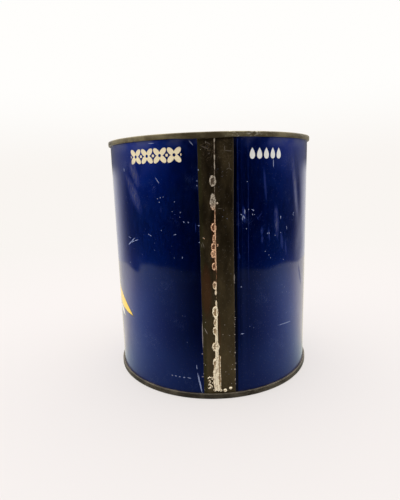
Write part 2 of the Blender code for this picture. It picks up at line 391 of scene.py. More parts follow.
def card_finish():
    """A glowing sheet that is dim straight in front of the tin, and warmer at its sides."""
    material, recipe = new_finish("reflection_card")[:2]
    x, y = recipe.split(recipe.object_place())[:2]
    turned = from_front(recipe, x, y)
    strength = brighter_sideways(recipe, turned, CARD_FULL_AT, CARD_LIGHT)
    color = recipe.mix(recipe.step(turned, CARD_SIDE_FROM, CARD_SIDE_TO), CARD_COLOR, CARD_SIDE_COLOR)
    away = recipe.length(recipe.object_place())
    full_at = CARD_FOOT_FULL * CARD_FOOT_REACH
    foot = recipe.step(away, CARD_FOOT_REACH, full_at, 0.0, CARD_FOOT_LIGHT)
    strength = recipe.plus(strength, foot)
    glow = recipe.node("ShaderNodeEmission", {"Color": color, "Strength": strength})
    clear = recipe.node("ShaderNodeBsdfTransparent", {})
    edge = recipe.step(away, CARD_RADIUS - CARD_EDGE_SOFTNESS, CARD_RADIUS + CARD_EDGE_SOFTNESS)
    recipe.show("Material Output", edge, glow.outputs[0], clear.outputs[0])
    return material


card = make_sheet("reflection_card", CARD_HALF_SIZE, -CARD_DEPTH, card_finish())
card.visible_camera = False
card.visible_diffuse = False
card.visible_transmission = False
card.visible_shadow = False
print("card reaches", CARD_RADIUS, "m from the middle of the tin")

# %% [markdown]
# ## Turned shapes
# Nearly every part of a can is pressed or rolled, so it is a shape turned round one axis. Spinning
# an outline gives that in one step. Its corners are given as a radius, a height and a rounding,
# as on a toolmaker's drawing, and the arcs between them are worked out.

# %% Turn an outline
ARC_STEPS = 6
MERGE_DISTANCE = 1e-7


def arc_corner(before, corner, after, rounding):
    """The points of the arc that rounds one corner of an outline."""
    to_before = (before - corner).normalized()
    to_after = (after - corner).normalized()
    half_angle = to_before.angle(to_after) / 2
    centre = corner + (to_before + to_after).normalized() * rounding / math.sin(half_angle)
    reach = rounding / math.tan(half_angle)
    start = corner + to_before * reach - centre
    end = corner + to_after * reach - centre
    return [centre + start.slerp(end, step / ARC_STEPS) * rounding for step in range(ARC_STEPS + 1)]


def outline(corners, closed):
    """The points of an outline, in metres, given by its corners in millimetres."""
    points = [Vector((radius, height)) * MM for radius, height, rounding in corners]
    rounded = []
    for index, (radius, height, rounding) in enumerate(corners):
        at_end = index in (0, len(corners) - 1) and not closed
        if rounding == 0 or at_end:
            rounded.append(points[index])
        else:
            following = points[(index + 1) % len(points)]
            rounded += arc_corner(points[index - 1], points[index], following, rounding * MM)
    return rounded


def finely(points, longest):
    """The same outline with its upright lines cut into stretches no longer than a length."""
    fine = [points[0]]
    for point in points[1:]:
        upright = abs(point.x - fine[-1].x) < MERGE_DISTANCE
        pieces = max(1, math.ceil(abs(point.y - fine[-1].y) / longest)) if upright else 1
        start = fine[-1]
        fine += [start.lerp(point, piece / pieces) for piece in range(1, pieces + 1)]
    return fine


def face_outwards(shape):
    """Turns the faces of a closed shape so that they all point out of it."""
    bmesh.ops.recalc_face_normals(shape, faces=shape.faces)
    if shape.calc_volume(signed=True) < 0:
        bmesh.ops.reverse_faces(shape, faces=shape.faces)


def turn(points, closed, steps):
    """A bmesh turned round the Z axis from the points of an outline.

    A spin slows down as its mesh grows, so an eighth is spun, and then doubled three times.
    """
    shape = bmesh.new()
    verts = [shape.verts.new((point.x, 0, point.y)) for point in points]
    edges = [shape.edges.new(pair) for pair in zip(verts, verts[1:])]
    if closed:
        edges.append(shape.edges.new((verts[-1], verts[0])))
    bmesh.ops.spin(shape, geom=verts + edges, cent=(0, 0, 0), axis=(0, 0, 1), dvec=(0, 0, 0),
                   angle=FULL_TURN / 8, steps=steps // 8)
    for angle in (FULL_TURN / 8, FULL_TURN / 4, FULL_TURN / 2):
        everything = shape.verts[:] + shape.edges[:] + shape.faces[:]
        copied = bmesh.ops.duplicate(shape, geom=everything)["geom"]
        copied_verts = [part for part in copied if isinstance(part, bmesh.types.BMVert)]
        turning = Matrix.Rotation(angle, 3, "Z")
        bmesh.ops.rotate(shape, cent=(0, 0, 0), matrix=turning, verts=copied_verts)
    bmesh.ops.remove_doubles(shape, verts=shape.verts, dist=MERGE_DISTANCE)
    face_outwards(shape)
    return shape


def around_of(point):
    """The angle of a point round the tin, from the lap towards the right."""
    return math.atan2(point.x, -point.y)


def outward(angle):
    """The direction away from the tin's axis at an angle."""
    return Vector((math.sin(angle), -math.cos(angle), 0))


def add_piece(name, shape, material, nodes, sharp=35):
    """Makes a piece of the tin from a bmesh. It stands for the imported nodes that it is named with."""
    mesh = bpy.data.meshes.new(name)
    shape.to_mesh(mesh)
    shape.free()
    mesh.materials.append(material)
    mesh.shade_smooth()
    mesh.set_sharp_from_angle(angle=math.radians(sharp))
    piece = bpy.data.objects.new(name, mesh)
    bpy.context.scene.collection.objects.link(piece)
    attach(piece, "root")
    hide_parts(*nodes)
    mesh.calc_loop_triangles()
    print(name, "has", len(mesh.loop_triangles), "triangles")
    return piece


print("turning tools ready")

# %% [markdown]
# ## The wall's shape
# The wall is a cylinder that has lived: the right-hand sheet laps over the left-hand one and
# steps back down again in a crease, shallow dents bend the reflections, and the whole sheet is a
# little wavy. In a picture the dents show only as bent reflections, and reflections follow the
# true surface, so they are moved points and not a bump texture. A dent is a soft hollow with a
# place, a half width, a half height, a depth and a lean.

# %% Relief of the wall
LAP_CREASE_FROM = 13.4
LAP_CREASE_TO = 17.6
WALL_SKIN = 0.3 * MM
DENTS = (
    # distance round from the lap, height, half width, half height, depth in millimetres, lean
    (-62.0, 72.0, 9.0, 16.0, 0.16, 0.3),
    (-50.0, 77.0, 6.0, 9.0, 0.15, -0.2),
    (-40.0, 70.0, 8.0, 12.0, 0.14, 0.2),
    (-28.0, 62.0, 9.0, 18.0, 0.12, 0.0),
    (-48.0, 122.0, 5.0, 11.0, 0.18, 0.5),
    (-55.0, 100.0, 10.0, 16.0, 0.10, 0.0),
    (-44.0, 38.0, 12.0, 18.0, 0.12, -0.3),
    (-58.0, 22.0, 9.0, 10.0, 0.12, 0.0),
    (34.0, 88.0, 10.0, 12.0, 0.12, 0.3),
    (45.0, 60.0, 9.0, 16.0, 0.14, -0.2),
    (57.5, 114.0, 3.6, 14.0, 0.34, -0.16),
    (61.0, 84.0, 6.0, 9.0, 0.16, 0.2),
    (40.0, 26.0, 12.0, 14.0, 0.12, 0.0),
    (24.0, 112.0, 7.0, 12.0, 0.08, 0.2),
    (104.0, 52.0, 16.0, 22.0, 0.30, 0.4),
    (150.0, 104.0, 14.0, 12.0, 0.25, -0.5),
    (-172.0, 40.0, 20.0, 16.0, 0.30, 0.2),
    (-120.0, 116.0, 12.0, 9.0, 0.22, 0.0),
    (-98.0, 28.0, 8.0, 12.0, 0.22, 0.6),
)
DENT_ENDS = 2.4
DENT_FALL = 1.3
WAVE_HEIGHT = 0.07
RIPPLE_HEIGHT = 0.018
HELD_FLAT = 4.5
HELD_SOFTLY = 14
SEAM_COVERS = (3.2, 4.2)


def soft_step(value, start, end):
    """A smooth rise from 0 at start to 1 at end."""
    share = min(1.0, max(0.0, (value - start) / (end - start)))
    return share * share * (3 - 2 * share)


def lumps(x, y, z):
    """A smooth random number, from about -1 to 1, that belongs to a place."""
    return noise.noise(Vector((x, y, z)))


def in_span(low, high, value):
    """Where a value lies between two others: -1 at the low one and 1 at the high one."""
    return (value - (low + high) / 2) / ((high - low) / 2)


def round_gap(first, second):
    """The distance from one place to another round the wall, the short way, in millimetres."""
    girth = FULL_TURN * BODY_RADIUS / MM
    return (first - second + girth / 2) % girth - girth / 2


def dent_depth(around, height):
    """How deep the dents are at a place of the wall."""
    depth = 0.0
    for centre, level, half_width, half_height, deepest, lean in DENTS:
        up = (height - level) / half_height
        if abs(up) < DENT_ENDS:
            across = (round_gap(around, centre) - lean * (height - level)) / half_width
            depth += deepest * math.exp(-DENT_FALL * (across * across + up * up))
    return depth


def lap_height(around):
    """How far the overlapping sheet stands out, with the crease where it steps back down."""
    if around < -0.05:
        return 0.0
    return LAP_STEP / MM * (1 - soft_step(around, LAP_CREASE_FROM, LAP_CREASE_TO))


def wall_relief(point):
    """How far a point of the wall stands out of the true cylinder, in metres."""
    height = point.z / MM
    angle = around_of(point)
    around = angle * BODY_RADIUS / MM
    top = HEIGHT / MM
    free = soft_step(height, HELD_FLAT, HELD_SOFTLY) * soft_step(top - height, HELD_FLAT, HELD_SOFTLY)
    round_trip = Vector((math.cos(angle), math.sin(angle), 0))
    wave = noise.noise(round_trip * 2.2 + Vector((0, 0, height * 0.018)))
    ripple = noise.noise(round_trip * 9 + Vector((5, 3, height * 0.05)))
    waviness = WAVE_HEIGHT * wave + RIPPLE_HEIGHT * ripple
    in_sight = soft_step(height, *SEAM_COVERS) * soft_step(top - height, *SEAM_COVERS)
    return (lap_height(around) * in_sight + (waviness - dent_depth(around, height)) * free) * MM


print("the deepest dent is", max(dent[4] for dent in DENTS), "mm deep")

# %% [markdown]
# The wall is turned with about one column for each millimetre round it and one row for each
# millimetre and a half of height. That is fine enough for the dents and coarse enough to stay
# light. The print must wrap round the tin, so the mesh gets a UV map that is simply the paper
# ruler: the distance round from the lap, and the height. A face that meets the line at the back,
# where both ways round end, takes the side that its middle is on.

# %% Body mesh
WALL_COLUMNS = 480
WALL_ROW = 1.5 * MM
HIDDEN_EDGE = 0.6
HOLLOW_RADIUS = 52.3


def lay_ruler(shape):
    """Gives a turned shape a UV map of distance round from the lap and height, both in metres."""
    ruler = shape.loops.layers.uv.new("ruler")
    for face in shape.faces:
        middle = around_of(face.calc_center_median())
        for corner in face.loops:
            angle = around_of(corner.vert.co)
            if abs(angle - middle) > math.pi:
                angle -= math.copysign(FULL_TURN, angle)
            corner[ruler].uv = (angle * BODY_RADIUS, corner.vert.co.z)


def make_body_shape():
    """The rolled wall, closed inside by the level of the powder, with edges that reach into the seams."""
    radius, top = BODY_RADIUS / MM, HEIGHT / MM
    inner = radius - HIDDEN_EDGE
    corners = (
        (0, 5.1, 0),
        (inner, 5.1, 0),
        (inner, 3.0, 0),
        (radius, 3.0, 0),
        (radius, 4.2, 0),
        (radius, top - 4.2, 0),
        (radius, top - 2.5, 0),
        (inner, top - 2.5, 0),
        (inner, top - 4.9, 0),
        (HOLLOW_RADIUS, top - 4.9, 0),
        (HOLLOW_RADIUS, top - 7.8, 0),
        (0, top - 7.8, 0),
    )
    shape = turn(finely(outline(corners, closed=False), WALL_ROW), False, WALL_COLUMNS)
    for vert in shape.verts:
        if vert.co.xy.length > BODY_RADIUS - WALL_SKIN:
            vert.co += outward(around_of(vert.co)) * wall_relief(vert.co)
    lay_ruler(shape)
    return shape


body_shape = make_body_shape()
print("body mesh has", len(body_shape.faces), "faces")

# %% [markdown]
# ## Fields for a printed sheet
# Lithographed tin is printed flat, in a few solid inks, before the sheet is rolled. So the print
# is built as an illustrator would draw it on the flat sheet: ellipses, leaves and bars, placed in
# millimetres. Each shape is a field, a number that is below 1 inside the shape. A union of shapes
# is the smallest of their fields, and the ink's edge is where the field passes 1. A place on the
# sheet is a pair of numbers, right and up, because plain numbers are what a long tree can hold most of.

# %% Shapes of ink
def inside(recipe, field, softness=0.02):
    """1 inside a shape and 0 outside, with a soft edge."""
    return recipe.step(field, 1 + softness, 1 - softness)


def ellipse(recipe, place, centre, half_size, turned=0.0):
    x, y = recipe.local(place, centre, half_size, turned)
    return recipe.times_plus(x, x, recipe.times(y, y))


def bar(recipe, place, centre, half_size, turned=0.0):
    """A rectangle."""
    x, y = recipe.local(place, centre, half_size, turned)
    return recipe.larger(recipe.magnitude(x), recipe.magnitude(y))


def leaf(recipe, place, root, tip, half_width):
    """A leaf with a point at its root and at its tip."""
    middle = ((root[0] + tip[0]) / 2, (root[1] + tip[1]) / 2)
    reach = math.dist(root, tip) / 2
    turned = math.atan2(tip[1] - root[1], tip[0] - root[0])
    x, y = recipe.local(place, middle, (reach, half_width), turned)
    return recipe.times_plus(x, x, recipe.magnitude(y))


def stroke(recipe, place, start, end, width):
    """A thin mark that tapers at both ends, such as a scratch."""
    middle = ((start[0] + end[0]) / 2, (start[1] + end[1]) / 2)
    half_size = (max(math.dist(start, end) / 2, width / 2), width / 2)
    turned = math.atan2(end[1] - start[1], end[0] - start[0])
    return ellipse(recipe, place, middle, half_size, turned)


class Print:
    """The inks on the sheet so far: their colour, and where they cover the metal."""

    def __init__(self, recipe, color):
        self.recipe = recipe
        self.color = color
        self.cover = 0.0

    def lay(self, mask, color):
        """Lays one more ink over the others."""
        self.color = self.recipe.mix(mask, self.color, color)
        self.cover = self.recipe.larger(self.cover, mask)

    def tint(self, mask, color):
        """Changes the colour of what is there, and covers nothing more."""
        self.color = self.recipe.mix(mask, self.color, color)


def lacquer_ruler(recipe):
    """The place on the flat sheet, in millimetres, as a vector for noises and as a pair for shapes."""
    flat = recipe.node("ShaderNodeUVMap", {}, uv_map="ruler").outputs[0]
    sheet = recipe.stretch(flat, (1 / MM, 1 / MM, 0))
    return sheet, tuple(recipe.split(sheet)[:2])


print("inks ready")

# %% [markdown]
# ## The print
# The panels at the back of this view can only be guessed, so they are plain pictures that suit any
# milk tin: a glass of milk on a meadow inside an oval, with yellow and white leaves that run round
# to the sides, and a white panel with ruled lines, a scoop and a cup. At the top of the wall run a
# frieze of cream flowers and a row of small white drops. Mirrored shapes are drawn once, on the
# distance from the panel's middle, whichever side it is on.

# %% Frieze and drops
FRIEZE_MIDDLE = (-32.9, 137.15)
FRIEZE_PITCH = 8.35
FRIEZE_FLOWERS = 4
DROPS_MIDDLE = (29.6, 136.9)
DROPS_PITCH = 4.3
DROPS_NUMBER = 5
DROP_HEIGHT = 5.8
DROP_WIDTH = 4.1
ROW_END_GAP = 0.2


def repeated(recipe, place, middle, pitch):
    """The distances from the middle of the nearest repeat, right and up."""
    across = recipe.math("WRAP", recipe.minus(place[0], middle[0]), pitch / 2, -pitch / 2)
    return across, recipe.minus(place[1], middle[1])


def only_row(recipe, place, drawn, middle, half_length, half_height):
    """Keeps of a repeated drawing only the row that is wanted."""
    window = bar(recipe, place, middle, (half_length - ROW_END_GAP, half_height))
    return recipe.times(drawn, inside(recipe, window, 0.005))


def frieze_mask(recipe, place):
    """Four-petalled flowers with a dot between each two."""
    first = (FRIEZE_MIDDLE[0] + FRIEZE_PITCH * (FRIEZE_FLOWERS - 1) / 2, FRIEZE_MIDDLE[1])
    across, up = repeated(recipe, place, first, FRIEZE_PITCH)
    quarter = (recipe.magnitude(across), recipe.magnitude(up))
    petal = ellipse(recipe, quarter, (1.85, 1.85), (2.5, 1.45), math.radians(45))
    heart = inside(recipe, ellipse(recipe, quarter, (0, 0), (0.85, 0.85)), 0.15)
    dot = ellipse(recipe, quarter, (FRIEZE_PITCH / 2, 0), (0.75, 0.75))
    drawn = inside(recipe, recipe.smallest([petal, dot]), 0.08)
    drawn = recipe.minus(drawn, heart)
    return only_row(recipe, place, drawn, FRIEZE_MIDDLE, FRIEZE_PITCH * FRIEZE_FLOWERS / 2, 5.0)


def drops_mask(recipe, place):
    """A row of small drops, each round below and pointed above."""
    across, up = repeated(recipe, place, DROPS_MIDDLE, DROPS_PITCH)
    rise = recipe.math("DIVIDE", recipe.plus(up, DROP_HEIGHT / 2), DROP_HEIGHT)
    rise = recipe.math("MINIMUM", recipe.larger(rise, 0.0), 1.0)
    swell = recipe.times(recipe.math("SQRT", rise), recipe.minus(1.0, rise))
    spare = recipe.minus(recipe.times(swell, DROP_WIDTH), recipe.magnitude(across))
    drawn = recipe.step(spare, -0.08, 0.12)
    return only_row(recipe, place, drawn, DROPS_MIDDLE, DROPS_PITCH * DROPS_NUMBER / 2, 3.2)


# %% Picture panel
PICTURE_MIDDLE = (-138.0, 84.0)
YELLOW_LEAVES = (
    # root, tip and half width, in millimetres from the middle of the picture
    ((26.0, -20.5), (81.8, -42.0), 5.4),
    ((16.0, -24.0), (40.0, -66.0), 6.4),
    ((-9.0, -30.0), (9.0, -68.0), 5.6),
    ((28.0, 22.0), (48.0, 52.0), 5.6),
    ((-8.0, 30.0), (8.0, 56.0), 4.8),
)
WHITE_LEAVES = (
    ((30.0, -18.0), (69.0, -46.0), 5.2),
    ((8.0, -28.0), (25.0, -69.0), 5.2),
    ((20.0, 28.0), (28.0, 56.0), 4.8),
    ((34.0, 12.0), (50.0, 34.0), 4.2),
)
INK_CREAM = linear(236, 222, 186)
INK_WHITE = linear(228, 229, 227)
INK_YELLOW = linear(255, 206, 12)
INK_OUTLINE = linear(20, 26, 52)
INK_SKY = linear(150, 196, 224)
INK_GRASS = linear(88, 142, 62)
INK_MILK = linear(240, 238, 230)
INK_GLASS = linear(120, 160, 200)
INK_FAR_HILL = linear(132, 170, 120)
INK_NEAR_GRASS = linear(56, 110, 48)
INK_MILK_SHADE = linear(196, 206, 222)
OVAL_HALF_SIZE = (41, 38)
OVAL_INNER_HALF_SIZE = (38.5, 35.5)


def panel_place(recipe, place, middle):
    """The place from the middle of a panel, also where the panel crosses the line at the back."""
    girth = FULL_TURN * BODY_RADIUS / MM
    return repeated(recipe, place, middle, girth)


def print_leaves(recipe, place, sheet_print, leaves, color):
    """Leaves on both sides of the picture, each with a thin dark outline."""
    field = recipe.smallest(leaf(recipe, place, *one) for one in leaves)
    sheet_print.lay(inside(recipe, field, 0.04), INK_OUTLINE)
    inner = recipe.plus(field, 0.14)
    sheet_print.tint(inside(recipe, inner, 0.05), color)


def print_picture(recipe, place, sheet_print):
    """The oval with the meadow and the glass, over the leaves."""
    place = panel_place(recipe, place, PICTURE_MIDDLE)
    x, y = place
    mirrored = (recipe.magnitude(x), y)
    print_leaves(recipe, mirrored, sheet_print, WHITE_LEAVES, INK_WHITE)
    print_leaves(recipe, mirrored, sheet_print, YELLOW_LEAVES, INK_YELLOW)
    sheet_print.lay(inside(recipe, ellipse(recipe, place, (0, 0), OVAL_HALF_SIZE), 0.012), INK_YELLOW)
    rolling = recipe.times(recipe.math("SINE", recipe.times(x, 0.09)), 3.0)
    meadow = recipe.step(recipe.plus(y, rolling), -9.4, -9.8)
    haze = recipe.step(y, -12, 34)
    scene = recipe.mix(haze, INK_WHITE, INK_SKY)
    far_hill = recipe.times(recipe.math("COSINE", recipe.times(x, 0.06)), 5.0)
    hill = recipe.step(recipe.minus(y, far_hill), -4.0, -4.4)
    scene = recipe.mix(hill, scene, INK_FAR_HILL)
    shade = recipe.step(y, -36, -8)
    scene = recipe.mix(meadow, scene, recipe.mix(shade, INK_NEAR_GRASS, INK_GRASS))
    scene = print_glass(recipe, x, y, scene)
    inner = ellipse(recipe, place, (0, 0), OVAL_INNER_HALF_SIZE)
    sheet_print.tint(inside(recipe, inner, 0.012), scene)


GLASS_FOOT = -24.0
GLASS_TOP = 19.0
GLASS_HALF_WIDTH = 11.0
MILK_LEVEL = 11.0


def print_glass(recipe, x, y, ink):
    """A glass that widens upwards, full of milk."""
    widening = recipe.times_plus(y, 0.075, GLASS_HALF_WIDTH)
    side = recipe.math("DIVIDE", recipe.magnitude(x), widening)
    above = recipe.step(y, GLASS_FOOT - 0.2, GLASS_FOOT + 0.2)
    below = recipe.step(y, GLASS_TOP + 0.2, GLASS_TOP - 0.2)
    tall = recipe.times(above, below)
    glass = recipe.times(inside(recipe, side, 0.02), tall)
    ink = recipe.mix(glass, ink, INK_GLASS)
    within = inside(recipe, recipe.plus(side, 0.09), 0.02)
    milk = recipe.times(within, recipe.step(y, MILK_LEVEL + 0.3, MILK_LEVEL))
    milk = recipe.times(milk, recipe.step(y, GLASS_FOOT + 1.6, GLASS_FOOT + 2.0))
    shaded = recipe.mix(recipe.step(side, 0.3, 0.95), INK_MILK, INK_MILK_SHADE)
    return recipe.mix(milk, ink, shaded)


# %% Notes panel
NOTES_MIDDLE = (121.0, 76.0)
NOTES_HALF_SIZE = (29.0, 50.0)
NOTES_LINE_PITCH = 3.6
INK_NOTES = linear(30, 48, 110)


def print_notes(recipe, place, sheet_print):
    """A white panel with ruled lines, and a scoop and a cup above them."""
    place = panel_place(recipe, place, NOTES_MIDDLE)
    sheet_print.lay(inside(recipe, bar(recipe, place, (0, 0), NOTES_HALF_SIZE), 0.006), INK_WHITE)
    ruled = recipe.math("WRAP", place[1], NOTES_LINE_PITCH / 2, -NOTES_LINE_PITCH / 2)
    line = recipe.step(recipe.magnitude(ruled), 0.42, 0.3)
    paragraph = bar(recipe, place, (0, -14.4), (24.0, 27.0))
    line = recipe.times(line, inside(recipe, paragraph, 0.01))
    sheet_print.tint(line, INK_NOTES)
    header = bar(recipe, place, (0, 42.0), (24.0, 3.0))
    scoop = recipe.smallest([
        ellipse(recipe, place, (-17.0, 26.0), (5.6, 5.0)),
        bar(recipe, place, (-6.0, 26.0), (9.0, 1.1)),
        bar(recipe, place, (14.0, 25.0), (6.4, 6.0)),
        ellipse(recipe, place, (20.5, 26.0), (3.4, 3.4)),
    ])
    shapes = recipe.larger(inside(recipe, scoop, 0.03), inside(recipe, header, 0.02))
    hollow = inside(recipe, ellipse(recipe, place, (20.8, 26.0), (1.9, 1.9)), 0.05)
    sheet_print.tint(shapes, INK_NOTES)
    sheet_print.tint(hollow, INK_WHITE)


print("the print has", len(YELLOW_LEAVES) + len(WHITE_LEAVES), "leaves on each side")

# %% [markdown]
# ## The bare strip along the solder
# Lacquer burns, so the sheet is left bare where it will be soldered. Over the years that strip has
# turned a dark olive brown, with rougher and lighter rust at the top, and pale flecks along its
# right-hand edge. Its edges lean a little against the lap, and they aren't quite straight.

# %% Strip
STRIP_LEFT = -8.08
STRIP_RIGHT = 10.2
STRIP_FLARE = 0.55
STRIP_FLARE_FROM = 98.0
STRIP_FLARE_RIGHT_OF = 2.0
STRIP_LIGHTENS = (110, 10)
STRIP_DARK = linear(22, 14, 2)
STRIP_LIGHT = linear(84, 71, 45)
STRIP_BURNT = linear(74, 38, 13)
STRIP_GREEN = linear(44, 42, 18)
STRIP_RUST = linear(78, 66, 48)
STRIP_EDGE = linear(74, 66, 56)
STRIP_FLECK = linear(190, 178, 168)
BURNT_AND_SHADE_SPOTS = (
    # middle and half size of rust-brown spots beside the solder thread, which also paint the shade of its
    # lobes
    ((-0.7, 88.0), (1.2, 15.0)),
    ((1.5, 42.0), (0.55, 14.0)),
)
WARM_SPOT = ((-5.2, 64.0), (3.4, 17.0))
RUST_SPAN = (126, 141)
FLECKS_RIGHT_SPAN = (56, 46)
FLECKS_LEFT_SPAN = (60, 50)


def strip_side(recipe, sheet, place):
    """The place across the strip: -1 at its left edge and 1 at its right one, which flares at the top."""
    wobble = recipe.times_plus(recipe.noise(sheet, 0.22, 3.0), 0.4, -0.2)
    flare = recipe.step(place[1], STRIP_FLARE_FROM, HEIGHT / MM, 0.0, -STRIP_FLARE)
    flare = recipe.times(flare, recipe.step(place[0], STRIP_FLARE_RIGHT_OF, STRIP_RIGHT))
    shifted = recipe.plus(recipe.plus(place[0], flare), wobble)
    middle, half_width = (STRIP_LEFT + STRIP_RIGHT) / 2, (STRIP_RIGHT - STRIP_LEFT) / 2
    return recipe.times_plus(shifted, 1 / half_width, -middle / half_width)


def strip_color(recipe, sheet, place, side):
    """The tarnish, its green left edge and the rust at the top."""
    height = place[1]
    cloud = recipe.noise(recipe.stretch(sheet, (1, 0.35, 1)), 0.12, 4.0, 0.6)
    downward = recipe.step(height, *STRIP_LIGHTENS, 0.0, 0.58)
    share = recipe.plus(recipe.step(cloud, 0.35, 0.75, 0.0, 0.45), downward)
    color = recipe.mix(share, STRIP_DARK, STRIP_LIGHT)
    green = recipe.times(recipe.step(side, -0.70, -0.86), recipe.step(cloud, 0.3, 0.6, 0.2, 0.8))
    color = recipe.mix(green, color, STRIP_GREEN)
    grain = recipe.noise(sheet, 1.1, 4.0, 0.65)
    # Painted shade: rust-brown spots beside the solder thread that also stand in for the shade around its
    # lobes.
    burnt = recipe.smallest(ellipse(recipe, place, *spot) for spot in BURNT_AND_SHADE_SPOTS)
    burnt = recipe.times(recipe.step(burnt, 1.3, 0.2), recipe.step(grain, 0.3, 0.6, 0.25, 0.7))
    color = recipe.mix(burnt, color, STRIP_BURNT)
    warm = recipe.step(ellipse(recipe, place, *WARM_SPOT), 1.1, 0.2, 0.0, 0.5)
    color = recipe.mix(warm, color, STRIP_BURNT)
    ring = recipe.gap(recipe.cells(sheet, 0.42), 0.36)
    rusty = recipe.larger(recipe.step(grain, 0.5, 0.66), recipe.step(ring, 0.09, 0.02, 0.0, 0.8))
    patches = recipe.step(recipe.noise(sheet, 0.21, 2.0), 0.4, 0.6)
    rusty = recipe.times(recipe.times(rusty, patches), recipe.step(height, *RUST_SPAN))
    color = recipe.mix(rusty, color, STRIP_RUST)
    edge = recipe.times(recipe.step(side, 0.90, 0.97), 0.5)
    return recipe.mix(edge, color, STRIP_EDGE)


def fleck_mask(recipe, sheet, height, side):
    """Pale flecks where the strip meets the lacquer, most of them low on the right."""
    spots = recipe.step(recipe.cells(sheet, 0.85), 0.32, 0.2)
    chosen = recipe.step(recipe.noise(sheet, 0.55, 2.0), 0.47, 0.56)
    right_edge = recipe.step(recipe.gap(side, 0.965), 0.075, 0.02)
    low_right = recipe.times(right_edge, recipe.step(height, *FLECKS_RIGHT_SPAN))
    left_edge = recipe.step(recipe.gap(side, -0.985), 0.05, 0.015)
    mid_left = recipe.times(left_edge, recipe.step(height, *FLECKS_LEFT_SPAN, 0.12, 0.6))
    where = recipe.larger(low_right, mid_left)
    where = recipe.larger(where, recipe.step(side, 1.0, -1.0, 0.06, 0.03))
    return recipe.times(recipe.times(spots, chosen), where)


print("strip is", round(STRIP_RIGHT - STRIP_LEFT, 2), "mm wide")

# %% [markdown]
# ## Scratches
# The deep scratches of a used tin are few and each has its own place, while thousands of fine ones
# just roughen the gloss. So the deep ones are a list of strokes, and the fine ones are a noise.
# Bright strokes reach the metal. Dull ones have only rubbed the lacquer.

# %% Marks
BRIGHT_MARKS = (
    # start, end and width, in millimetres
    ((-57.6, 131.6), (-57.4, 129.6), 0.5), ((-32.1, 125.9), (-29.9, 122.8), 0.3),
    ((-31.4, 114.6), (-31.3, 114.5), 0.45), ((-29.6, 115.4), (-29.5, 114.9), 0.5),
    ((-27.8, 115.6), (-27.7, 115.4), 0.4), ((-30.4, 112.9), (-30.3, 112.6), 0.55),
    ((-21.3, 113.1), (-21.2, 112.8), 0.4), ((-22.8, 108.0), (-22.6, 107.8), 0.35),
    ((-30.1, 97.5), (-29.7, 97.4), 0.45), ((-39.1, 95.0), (-38.2, 94.6), 0.5),
    ((-38.2, 94.6), (-36.5, 93.9), 0.3), ((-57.8, 87.1), (-54.5, 89.3), 0.7),
    ((-54.5, 89.3), (-50.6, 91.9), 0.5), ((-54.7, 88.8), (-51.0, 90.1), 0.5),
    ((-51.0, 90.1), (-47.5, 91.1), 0.4), ((-57.0, 92.0), (-54.7, 91.3), 0.35),
    ((-18.2, 107.6), (-18.0, 107.2), 0.55), ((-18.7, 105.0), (-18.5, 104.8), 0.35),
    ((-16.7, 102.6), (-16.1, 101.8), 0.4), ((-14.2, 102.4), (-13.7, 101.7), 0.4),
    ((-22.5, 95.1), (-21.2, 95.5), 0.3), ((-21.4, 95.7), (-21.2, 95.3), 0.5),
    ((-22.7, 82.6), (-22.6, 82.3), 0.35), ((-18.0, 83.4), (-18.0, 82.3), 0.35),
    ((-57.6, 76.6), (-57.1, 76.3), 0.4), ((-7.9, 129.3), (-7.6, 129.0), 0.65),
    ((-8.7, 123.7), (-8.5, 123.4), 0.5), ((-8.8, 121.5), (-8.6, 120.9), 0.45),
    ((-8.8, 100.3), (-7.8, 100.4), 0.45), ((-8.5, 91.4), (-8.2, 91.1), 0.6),
    ((-12.1, 143.9), (-10.1, 141.5), 0.4), ((-35.7, 143.7), (-31.8, 143.6), 0.35),
    ((16.4, 108.2), (16.5, 105.4), 0.55), ((15.5, 104.9), (16.4, 103.1), 0.6),
    ((15.1, 104.6), (15.1, 102.1), 0.4), ((13.9, 105.8), (15.0, 104.9), 0.35),
    ((18.6, 108.1), (18.7, 107.6), 0.55), ((20.3, 107.8), (21.4, 107.4), 0.35),
    ((21.4, 107.4), (21.9, 106.9), 0.7), ((20.9, 105.3), (21.1, 104.9), 0.65),
    ((22.1, 105.1), (22.3, 104.7), 0.45), ((17.3, 97.8), (17.4, 97.4), 0.6),
    ((17.9, 122.7), (18.0, 122.3), 0.5), ((40.2, 102.9), (40.4, 101.2), 0.65),
    ((45.4, 96.6), (46.1, 94.4), 0.35), ((52.2, 103.0), (53.5, 103.7), 0.35),
    ((51.9, 102.8), (53.1, 101.8), 0.35), ((29.0, 84.2), (29.3, 83.8), 0.55),
    ((31.6, 94.7), (31.8, 93.4), 0.45), ((30.4, 94.4), (30.8, 93.4), 0.3),
    ((35.9, 92.5), (36.3, 92.1), 0.5), ((40.3, 93.5), (40.6, 93.2), 0.45),
    ((31.7, 82.1), (31.8, 81.4), 0.4), ((32.7, 80.3), (32.9, 79.6), 0.4),
    ((42.8, 77.7), (43.2, 77.3), 0.45), ((13.8, 65.9), (14.3, 65.6), 0.55),
    ((34.3, 133.6), (34.4, 129.5), 0.45), ((-27.6, 12.2), (-26.7, 12.2), 0.6),
    ((-25.3, 12.4), (-24.3, 12.0), 0.5), ((-22.8, 12.1), (-22.0, 12.1), 0.6),
    ((-20.2, 11.9), (-19.1, 12.2), 0.6), ((-17.6, 12.2), (-15.4, 12.0), 0.4),
    ((-11.5, 15.4), (-9.3, 3.6), 0.85), ((-12.0, 20.5), (-11.8, 17.8), 0.4),
    ((13.4, 38.4), (15.4, 38.3), 0.6), ((39.0, 38.6), (50.8, 37.8), 0.4),
)
